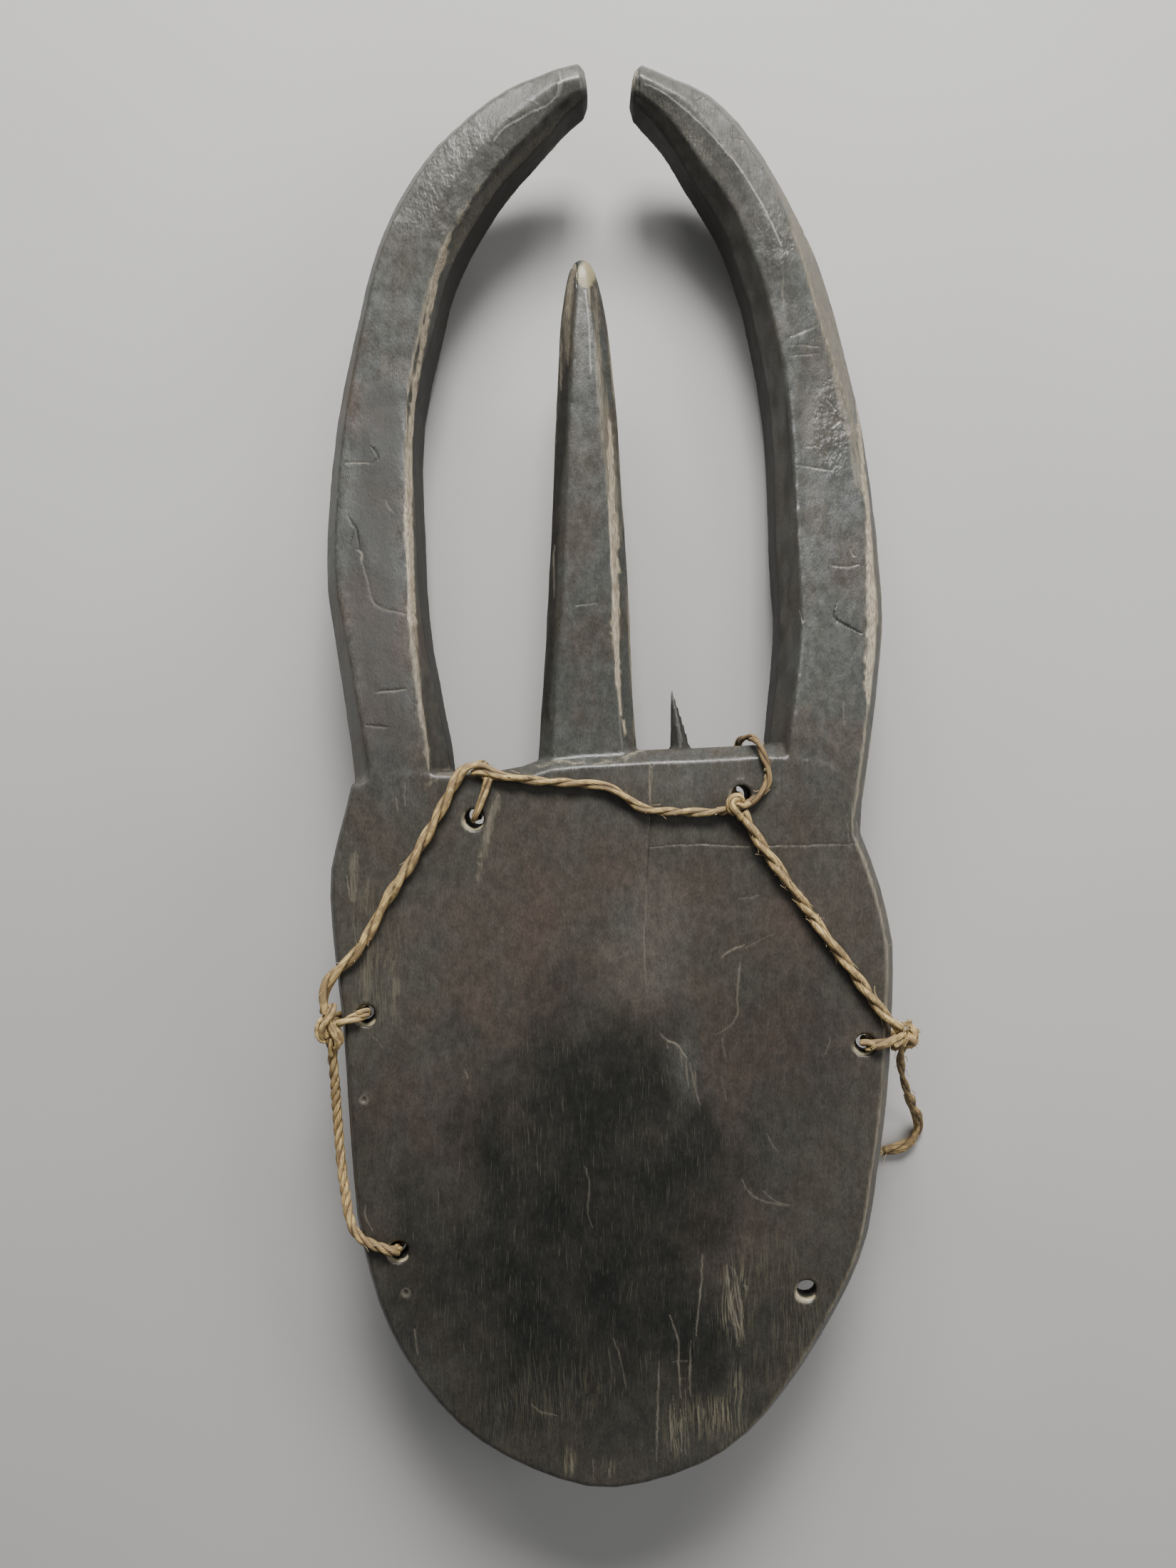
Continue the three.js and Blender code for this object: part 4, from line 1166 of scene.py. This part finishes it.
def split_triangles(triangles, cut):
    """Triangles after their sides are cut at new points. cut holds the new point on each side, or -1."""
    parts = [triangles[(cut < 0).all(axis=1)]]
    for turn in range(3):
        a, b, c = np.roll(triangles, -turn, axis=1).T
        ab, bc, ca = np.roll(cut, -turn, axis=1).T
        one = (ab >= 0) & (bc < 0) & (ca < 0)
        parts += [np.stack([a, ab, c], 1)[one], np.stack([ab, b, c], 1)[one]]
        two = (ab >= 0) & (bc >= 0) & (ca < 0)
        parts += [np.stack([ab, b, bc], 1)[two], np.stack([a, ab, bc], 1)[two], np.stack([a, bc, c], 1)[two]]
    a, b, c = triangles.T
    ab, bc, ca = cut.T
    every = (cut >= 0).all(axis=1)
    corners = [(a, ab, ca), (ab, b, bc), (ca, bc, c), (ab, bc, ca)]
    parts += [np.stack(corner, 1)[every] for corner in corners]
    return np.concatenate(parts)


def triangle_mesh(name, points, triangles):
    mesh = bpy.data.meshes.new(name)
    mesh.vertices.add(len(points))
    mesh.vertices.foreach_set("co", points.ravel())
    mesh.loops.add(triangles.size)
    mesh.loops.foreach_set("vertex_index", triangles.ravel().astype(np.int32))
    mesh.polygons.add(len(triangles))
    mesh.polygons.foreach_set("loop_start", np.arange(0, triangles.size, 3, dtype=np.int32))
    mesh.polygons.foreach_set("use_smooth", np.ones(len(triangles), dtype=bool))
    mesh.update(calc_edges=True)
    mesh.validate()
    return mesh


# The lips of the lacing holes, and how deep and how straight the marks are. The first three give how
# far from a hole's middle the painted light on the lower lip, the painted shade in the bore and the
# smoothing fade out.

LIT_LIP = (4.3 * MM, 5.7 * MM)
SHADED_BORE = (4.3 * MM, 4.8 * MM)
RELAXED_LIP = (5.6 * MM, 6.4 * MM)
RAW_DEPTH = (3 * MM, 1.2 * MM)  # under the flat back
LIP_HEIGHT, DENT_HEIGHT, HIGHLIGHT_HEIGHT = -0.9, -0.6, 0.12  # in millimetres
JITTER_CELL = 2.2 * MM
SCRATCH_JITTER, RIDGE_JITTER = 0.9, 0.6  # in pixels


def hole_lip(points, place):
    """How far points are from a lacing hole's middle, and 1 on its lower lip, where the light falls into the
    hole.
    """
    across, along, _ = (points - from_photo(*place)).T
    away = np.hypot(across, along)
    lit_side = ease(-0.1, 0.75, -(along + 0.25 * across) / np.maximum(away, MM))
    return away, lit_side * (1 - ease(*LIT_LIP, away))


def drawn(route):
    """A route in pixels without corners at its points."""
    if len(route) < 3:
        return route
    return smooth_route([(x, y, 0) for x, y in route], 5)[:, :2]


def scratch_wood(surface):
    """Cuts the cracks, scratches and dents, and says which are pale and which are dark."""
    points = surface.points
    jitter = np.stack([soft_noise(points, JITTER_CELL, seed) for seed in (71, 72)], 1)
    steady = seen_at(points) + RIDGE_JITTER * jitter
    pixels = seen_at(points) + SCRATCH_JITTER * jitter
    back = ease(0.15, 0.4, surface.normals[:, 2])
    height, pale, crack, painted_highlight, lips = np.zeros((5, surface.count))
    broken = 0.62 + 0.38 * soft_noise(points, (1.2 * MM, 4 * MM, 1.2 * MM), seed=73)
    for route, width, paleness, depth in SCRATCHES:
        route = drawn(route)
        to_end = np.linspace(0, 1, len(route))
        to_end = np.minimum(to_end, 1 - to_end)
        widths = (width / 2 + 0.5) * (0.5 + 0.5 * np.minimum(1, 4 * to_end))
        core = (1 - ease(0.3, 1.25, beside(pixels, route, widths))) * back
        height = np.minimum(height, -depth * MM * core)
        pale = np.maximum(pale, core * max(paleness, 0) * broken)
        crack = np.maximum(crack, core * max(-paleness, 0))
    shine = 0.7 + 0.3 * soft_noise(points, 5 * MM, seed=74)
    # Thin highlights painted pale along ridges, over a low raised line
    for route, width, paleness in HIGHLIGHT_RIDGES:
        core = (1 - ease(0.5, 1.2, beside(steady, drawn(route), width / 2 + 0.4))) * back * shine
        height += HIGHLIGHT_HEIGHT * MM * core
        painted_highlight = np.maximum(painted_highlight, core * paleness * (0.5 + 0.5 * broken))
    for place in NAIL_DENTS:
        away = np.linalg.norm(pixels - place, axis=1)
        height += DENT_HEIGHT * MM * back * (1 - ease(1, 5.5, away))
        pale = np.maximum(pale, 0.28 * back * (1 - ease(1, 3, np.abs(away - 5))))
    for place in HOLE_PLACES:
        away, lip = hole_lip(points, place)
        height += LIP_HEIGHT * MM * lip * back
        lips = np.maximum(lips, 1 - ease(*RELAXED_LIP, away))
    surface.push(height)
    for _ in range(4):
        surface.points += 0.5 * lips[:, None] * (surface.mean_of_neighbours(surface.points) - surface.points)
    surface.find_normals()
    store(surface.mesh, "scratch", pale)
    store(surface.mesh, "painted_highlight", painted_highlight)
    store(surface.mesh, "crack", crack)


def mark_wood(surface):
    """Says where the wood is worn, raw, red, dark or scraped, and where light, sheen and shade are painted
    on it.
    """
    mesh, points, normals = surface.mesh, surface.points, surface.normals
    pixels = seen_at(points)
    back = ease(0.05, 0.3, normals[:, 2])
    streaks = soft_noise(points, (5 * MM, 30 * MM, 5 * MM), seed=21)
    ragged = soft_noise(points, (2.5 * MM, 10 * MM, 2.5 * MM), seed=22)
    crown = pixels[:, 1] + 25 * soft_noise(points, 20 * MM, seed=23)
    horns = 1 - ease(CROWN_Y - 60, CROWN_Y + 130, crown)
    store(mesh, "horn", horns)

    edge = ease(0.14, 0.5, read_values(mesh, "bulge") + 0.14 * streaks)
    # Convex edges are paler as wear, and paler still where they face the lamps, which is painted light
    to_light = ease(-0.3, 0.55, normals[:, 0] + 0.3 * normals[:, 1])
    tips = 1 - ease(120, 230, pixels[:, 1])
    wear_and_painted_light = edge * (0.12 + 0.5 * to_light) * (1 - 0.7 * tips) * (1 - 0.85 * on_spike(pixels))
    for route, widths, amount in WORN_AND_HIGHLIGHT_STRIPS:
        strip = 1 - ease(0.55, 1.2, beside(pixels, route, widths, reach=1.5) + 0.2 * ragged)
        wear_and_painted_light = np.maximum(wear_and_painted_light, strip * amount * back)
    store(mesh, "wear_and_painted_light", np.clip(wear_and_painted_light, 0, 1))

    raw_and_lit_lip = np.zeros(surface.count)
    # Steep sides are painted darker as shade, less where they face up the mask towards the lamps
    steep = 1 - ease(0.15, 0.65, np.abs(normals[:, 2]) + 0.12 * ragged)
    painted_shade = steep * (0.9 - 0.35 * ease(0.1, 0.8, normals[:, 1]))
    near_back = ease(BACK_Z - RAW_DEPTH[0], BACK_Z - RAW_DEPTH[1], points[:, 2])
    # Raw wood is painted only on the lower lip of each hole, where light falls; the rest of the bore is
    # painted shade
    for place in HOLE_PLACES:
        away, lip = hole_lip(points, place)
        raw_and_lit_lip = np.maximum(raw_and_lit_lip, ease(0.25, 0.6, lip) * near_back)
        painted_shade = np.maximum(painted_shade, 1 - ease(*SHADED_BORE, away))
    tip = 1 - ease(0.75, 1.05, oval(pixels, *MIDDLE_HORN_TIP))
    raw_and_lit_lip = np.maximum(raw_and_lit_lip, 0.6 * tip * back)
    # Painted shade along the shaded strips
    for route, widths, amount in SHADED_STRIPS:
        strip = 1 - ease(0.5, 1.3, beside(pixels, route, widths, reach=1.6) + 0.2 * streaks)
        painted_shade = np.maximum(painted_shade, strip * amount * back)
    store(mesh, "raw_and_lit_lip", raw_and_lit_lip)
    store(mesh, "painted_shade", painted_shade * (1 - raw_and_lit_lip))

    dark = strongest(pixels, points, DARK_PATCHES, seed=60, ragged=0.25)
    store(mesh, "red", strongest(pixels, points, RED_PATCHES, seed=40, ragged=0.4) * back)
    store(mesh, "dark", dark * (1 - horns) * back)
    store(mesh, "scraped", strongest(pixels, points, SCRAPED_PLACES, seed=120) * back)
    # The tops of the horns are painted a paler grey as sheen, fading out lower down, and so are the sheen
    # places
    painted_sheen = 1 - ease(150, 480, pixels[:, 1] + 60 * soft_noise(points, 25 * MM, seed=25))
    sheen_spots = 0.4 * strongest(pixels, points, SHEEN_PLACES, seed=100)
    store(mesh, "painted_sheen", np.maximum(painted_sheen, sheen_spots) * back)


def make_mask():
    broad = Surface(fine_copy("mask"))
    broad.relax(4)
    broad.snap("mask")
    broad.relax(1)
    shape_wood(broad)
    light = lighter_copy(broad.mesh, BROAD_TRIANGLES)
    start = Surface(light)
    triangles = np.empty((len(light.polygons), 3), dtype=np.int32)
    light.polygons.foreach_get("vertices", triangles.ravel())
    carried = [read_values(light, name)[:, None] for name in ("bulge", "rough")]
    rows = np.concatenate([start.points, start.normals[:, 2:], *carried], axis=1)
    rows, triangles = refined(rows, triangles)
    surface = Surface(triangle_mesh("carved_mask", rows[:, :3].copy(), triangles))
    store(surface.mesh, "bulge", rows[:, 4])
    store(surface.mesh, "rough", rows[:, 5])
    scratch_wood(surface)
    mark_wood(surface)
    mask = add_object("carved_mask", surface.mesh)
    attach(mask, BODY)
    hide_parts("mask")
    return mask


mask = make_mask()


# Materials


class Material:
    """A node tree with short ways to add to it."""

    def __init__(self, name):
        self.material = bpy.data.materials.new(name)
        self.material.use_nodes = True
        self.tree = self.material.node_tree
        self.place = self.node("TexCoord", {}, "Object")

    def put(self, socket, value):
        if isinstance(value, bpy.types.NodeSocket):
            self.tree.links.new(value, socket)
        else:
            socket.default_value = value

    def node(self, kind, inputs, output=0, **settings):
        """The output of a new node."""
        node = self.tree.nodes.new("ShaderNode" + kind)
        for name, value in settings.items():
            setattr(node, name, value)
        for name, value in inputs.items():
            self.put(node.inputs[name], value)
        return node.outputs[output]

    def attribute(self, name, output="Fac"):
        return self.node("Attribute", {}, output, attribute_name=name)

    def times(self, one, two):
        return self.node("Math", {0: one, 1: two}, operation="MULTIPLY")

    def plus(self, one, two):
        return self.node("Math", {0: one, 1: two}, operation="ADD")

    def bent(self, vector, noise, reach):
        """A vector moved about by a noise colour."""
        middle = self.node("VectorMath", {0: noise, 1: (0.5, 0.5, 0.5)}, operation="SUBTRACT")
        inputs = {0: middle, 1: (reach, reach, reach), 2: vector}
        return self.node("VectorMath", inputs, operation="MULTIPLY_ADD")

    def noise(self, vector, sizes, detail=3.0, roughness=0.55, output="Fac"):
        """Noise whose waves have one of the sizes along each axis of the vector."""
        scales = [1 / size for size in sizes]
        scaled = self.node("VectorMath", {0: vector, 1: scales}, operation="MULTIPLY")
        inputs = {"Scale": 1.0, "Detail": detail, "Roughness": roughness, "Vector": scaled}
        return self.node("TexNoise", inputs, output)

    def step(self, value, low, high, to_low=0.0, to_high=1.0):
        """A smooth step of a value."""
        inputs = {"Value": value, "From Min": low, "From Max": high, "To Min": to_low, "To Max": to_high}
        return self.node("MapRange", inputs, interpolation_type="SMOOTHSTEP")

    def blend(self, share, one, two, kind="MIX"):
        """Colour one, which turns into colour two where the share is 1."""
        inputs = {"Factor": share, "A": one, "B": two}
        return self.node("Mix", inputs, "Result", data_type="RGBA", blend_type=kind)

    def shaded(self, colour, value, darkest, lightest):
        """A colour that a noise makes darker and lighter by these factors."""
        factor = self.step(value, 0.3, 0.7, darkest, lightest)
        grey = self.node("CombineColor", {0: factor, 1: factor, 2: factor})
        return self.blend(1.0, colour, grey, "MULTIPLY")

    def bump(self, height, distance, before=None):
        inputs = {"Strength": 1.0, "Distance": distance, "Height": height}
        if before is not None:
            inputs["Normal"] = before
        return self.node("Bump", inputs)

    def finish(self, colour, roughness, normal):
        shader = self.tree.nodes["Principled BSDF"]
        self.put(shader.inputs["Base Color"], colour)
        self.put(shader.inputs["Roughness"], roughness)
        self.put(shader.inputs["Normal"], normal)
        return self.material


def colour(red, green, blue):
    return (red, green, blue, 1.0)


GREY_PATINA = colour(0.059, 0.061, 0.054)
BROWN_PATINA = colour(0.062, 0.053, 0.041)
BOARD_PATINA = colour(0.064, 0.0595, 0.049)
RED_WOOD = colour(0.082, 0.062, 0.0495)
# Near black over the middle and lower board
NEAR_BLACK = colour(0.0088, 0.0094, 0.0076)
# Painted sheen on the tops of the horns and the sheen places
PAINTED_SHEEN = colour(0.112, 0.109, 0.094)
# Painted shade: steep sides, hole bores and the shaded strips
PAINTED_SHADE = colour(0.014, 0.0115, 0.008)
DUSTY_FIBRE = colour(0.16, 0.145, 0.115)
SCRAPED = colour(0.17, 0.155, 0.10)
SCRATCHED = colour(0.27, 0.24, 0.185)
WORN_BROWN = colour(0.155, 0.135, 0.095)
WORN_DARK = colour(0.22, 0.175, 0.12)
WORN_WOOD = colour(0.47, 0.40, 0.29)
# Painted highlight along ridges
PAINTED_HIGHLIGHT = colour(0.42, 0.41, 0.37)
HORN_TIP = colour(0.30, 0.26, 0.15)
RAW_DARK = colour(0.34, 0.29, 0.20)
RAW_WOOD = colour(0.44, 0.385, 0.275)
CRACK = colour(0.008, 0.007, 0.006)

FIBRE_DARK = colour(0.22, 0.125, 0.042)
FIBRE_TAN = colour(0.68, 0.485, 0.195)
FIBRE_HAIR = colour(0.88, 0.70, 0.35)
FIBRE_BLOT = colour(0.22, 0.145, 0.072)
OLD_FIBRE = colour(0.15, 0.09, 0.042)
STRAW_FIBRE = colour(0.74, 0.58, 0.33)
# Painted shade in the creases between strands
FIBRE_CREASE_SHADE = colour(0.06, 0.035, 0.016)
FIBRE_ROUGHNESS = 0.68

FLOOR_DARK = colour(0.50, 0.49, 0.475)
FLOOR_LIGHT = colour(0.53, 0.52, 0.505)
FLOOR_ROUGHNESS = 0.85


def wood_material():
    wood = Material("dark_patinated_wood")
    drift = wood.noise(wood.place, (0.03, 0.05, 0.03), output="Color")
    place = wood.bent(wood.place, drift, 0.008)
    grain = wood.noise(place, (0.0009, 0.022, 0.0009), detail=4.0)
    fine_grain = wood.noise(place, (0.0004, 0.006, 0.0004), detail=2.0)
    clouds = wood.noise(place, (0.022, 0.034, 0.022), detail=4.0, roughness=0.6)
    spots = wood.noise(wood.place, (0.004, 0.006, 0.004), detail=5.0, roughness=0.65)
    lumps = wood.noise(wood.place, (0.0018, 0.003, 0.0018), detail=1.5)
    felt = wood.noise(place, (0.0006, 0.0016, 0.0006), roughness=0.6)
    horn, wear_and_painted_light, raw_and_lit_lip = wood.attribute("horn"), wood.attribute("wear_and_painted_light"), wood.attribute("raw_and_lit_lip")

    shade = wood.blend(horn, BOARD_PATINA, GREY_PATINA)
    shade = wood.blend(wood.step(clouds, 0.42, 0.62, 0.0, 0.8), shade, BROWN_PATINA)
    red = wood.times(wood.attribute("red"), wood.step(clouds, 0.35, 0.6, 0.35, 0.9))
    shade = wood.blend(red, shade, RED_WOOD)
    dark = wood.times(wood.attribute("dark"), wood.step(clouds, 0.35, 0.65, 0.97, 0.75))
    shade = wood.blend(dark, shade, NEAR_BLACK)
    # Painted sheen on the tops of the horns and the sheen places
    shade = wood.blend(wood.times(wood.attribute("painted_sheen"), 0.9), shade, PAINTED_SHEEN)
    # Painted shade on steep sides, in the hole bores and along the shaded strips
    shade = wood.blend(wood.attribute("painted_shade"), shade, PAINTED_SHADE)
    shade = wood.shaded(shade, grain, 0.95, 1.05)
    shade = wood.shaded(shade, spots, 0.82, 1.15)
    shade = wood.shaded(shade, felt, 0.82, 1.2)

    dashes = wood.noise(place, (0.0004, 0.013, 0.0008), detail=2.0)
    dash_share = wood.step(wood.attribute("dark"), 0.1, 0.8, 0.08, 0.3)
    dash_share = wood.times(dash_share, wood.step(horn, 0.2, 0.8, 1.0, 0.25))
    dash = wood.times(wood.step(dashes, 0.58, 0.72), dash_share)
    shade = wood.blend(dash, shade, DUSTY_FIBRE)
    strokes = wood.noise(place, (0.0006, 0.016, 0.001), detail=2.0)
    stroke = wood.times(wood.step(strokes, 0.48, 0.62, 0.0, 0.85), wood.attribute("scraped"))
    shade = wood.blend(stroke, shade, SCRAPED)

    # Wear, with edges that face the lamps painted paler as light
    worn_and_lit = wood.step(wood.plus(wear_and_painted_light, wood.step(grain, 0.3, 0.7, -0.12, 0.1)), 0.2, 0.75)
    worn_colour = wood.blend(wood.step(fine_grain, 0.38, 0.62), WORN_DARK, WORN_WOOD)
    worn_colour = wood.blend(wood.step(wear_and_painted_light, 0.35, 0.85), WORN_BROWN, worn_colour)
    shade = wood.blend(wood.times(worn_and_lit, 0.9), shade, worn_colour)
    raw_colour = wood.blend(wood.step(fine_grain, 0.35, 0.65), RAW_DARK, RAW_WOOD)
    raw_colour = wood.blend(wood.step(raw_and_lit_lip, 0.65, 0.95), HORN_TIP, raw_colour)
    # The raw tip of the middle horn, and the lower lips of the holes painted pale where light falls
    shade = wood.blend(wood.step(raw_and_lit_lip, 0.05, 0.6), shade, raw_colour)
    # Painted highlight along ridges
    shade = wood.blend(wood.attribute("painted_highlight"), shade, PAINTED_HIGHLIGHT)
    shade = wood.blend(wood.attribute("scratch"), shade, SCRATCHED)
    shade = wood.blend(wood.attribute("crack"), shade, CRACK)

    roughness = wood.plus(wood.step(spots, 0.3, 0.75, 0.29, 0.42), wood.times(worn_and_lit, 0.16))
    roughness = wood.plus(roughness, wood.times(wood.attribute("painted_shade"), 0.45))
    hammered = wood.times(lumps, wood.step(wood.attribute("rough"), 0.0, 1.0, 0.05, 1.0))
    relief = wood.bump(grain, 0.00003)
    relief = wood.bump(wood.times(dash, -1.0), 0.0001, before=relief)
    relief = wood.bump(felt, 0.00008, before=relief)
    relief = wood.bump(spots, 0.00018, before=relief)
    relief = wood.bump(hammered, 0.00045, before=relief)
    return wood.finish(shade, roughness, relief)


def fibre_material():
    fibre = Material("dry_plant_fibre")
    lay = fibre.attribute("lay", "Vector")
    strands = fibre.noise(lay, (0.33, 0.33, 13.0))
    hairs = fibre.noise(lay, (0.1, 0.1, 7.0), detail=2.0)
    blots = fibre.noise(fibre.place, (0.0055, 0.0055, 0.0055))
    age = fibre.attribute("age")
    groove = fibre.step(fibre.attribute("groove"), 0.22, 0.56, 0.0, 0.85)
    shade = fibre.blend(fibre.step(strands, 0.4, 0.6), FIBRE_DARK, FIBRE_TAN)
    shade = fibre.blend(fibre.step(hairs, 0.45, 0.7, 0.0, 0.5), shade, FIBRE_HAIR)
    shade = fibre.blend(fibre.step(blots, 0.44, 0.56, 0.0, 0.75), shade, FIBRE_BLOT)
    shade = fibre.blend(fibre.step(age, 0.0, 1.0, 0.0, 0.7), shade, OLD_FIBRE)
    shade = fibre.blend(fibre.step(age, STRAW, 0.0, 0.75, 0.0), shade, STRAW_FIBRE)
    # The creases between strands are painted dark as shade
    shade = fibre.blend(groove, shade, FIBRE_CREASE_SHADE)
    relief = fibre.bump(strands, 0.0002)
    relief = fibre.bump(hairs, 0.00006, before=relief)
    return fibre.finish(shade, FIBRE_ROUGHNESS, relief)


def floor_material():
    paint = Material("pale_floor")
    grain = paint.noise(paint.place, (0.3, 0.3, 0.3), detail=2.0)
    shade = paint.blend(paint.step(grain, 0.3, 0.7), FLOOR_DARK, FLOOR_LIGHT)
    return paint.finish(shade, FLOOR_ROUGHNESS, paint.bump(grain, 0.0001))


mask.data.materials.append(wood_material())
fibre = fibre_material()
for piece in lacing:
    piece.data.materials.append(fibre)


# Floor and light

FLOOR_HALF = 4.0
SKY_COLOUR = colour(0.95, 0.97, 1.0)
SKY_STRENGTH = 0.16

# Soft lamps that are aimed at the middle of the mask: place, width and height, power

LAMPS = {
    "key": ((0.05, 1.2, 1.05), (0.5, 0.5), 24),
    "gloss": ((0.0, 1.45, 1.1), (1.8, 0.36), 29),
    "side": ((1.4, 0.1, 1.0), (0.8, 0.8), 8),
}


def add_floor():
    mesh = bpy.data.meshes.new("floor")
    corners = [(x * FLOOR_HALF, y * FLOOR_HALF, 0) for x, y in ((-1, -1), (1, -1), (1, 1), (-1, 1))]
    mesh.from_pydata(corners, [], [(0, 1, 2, 3)])
    floor = add_object("floor", mesh)
    floor.data.materials.append(floor_material())


def add_lamp(name, place, size, power):
    data = bpy.data.lights.new(name, "AREA")
    data.shape = "RECTANGLE"
    data.energy = power
    data.size, data.size_y = size
    lamp = add_object(name, data)
    lamp.location = place
    lamp.rotation_euler = Vector(place).to_track_quat("Z", "Y").to_euler()


def add_sky():
    world = bpy.data.worlds.new("sky")
    world.use_nodes = True
    background = world.node_tree.nodes["Background"]
    background.inputs["Color"].default_value = SKY_COLOUR
    background.inputs["Strength"].default_value = SKY_STRENGTH
    bpy.context.scene.world = world


add_floor()
add_sky()
for name, (place, size, power) in LAMPS.items():
    add_lamp(name, place, size, power)
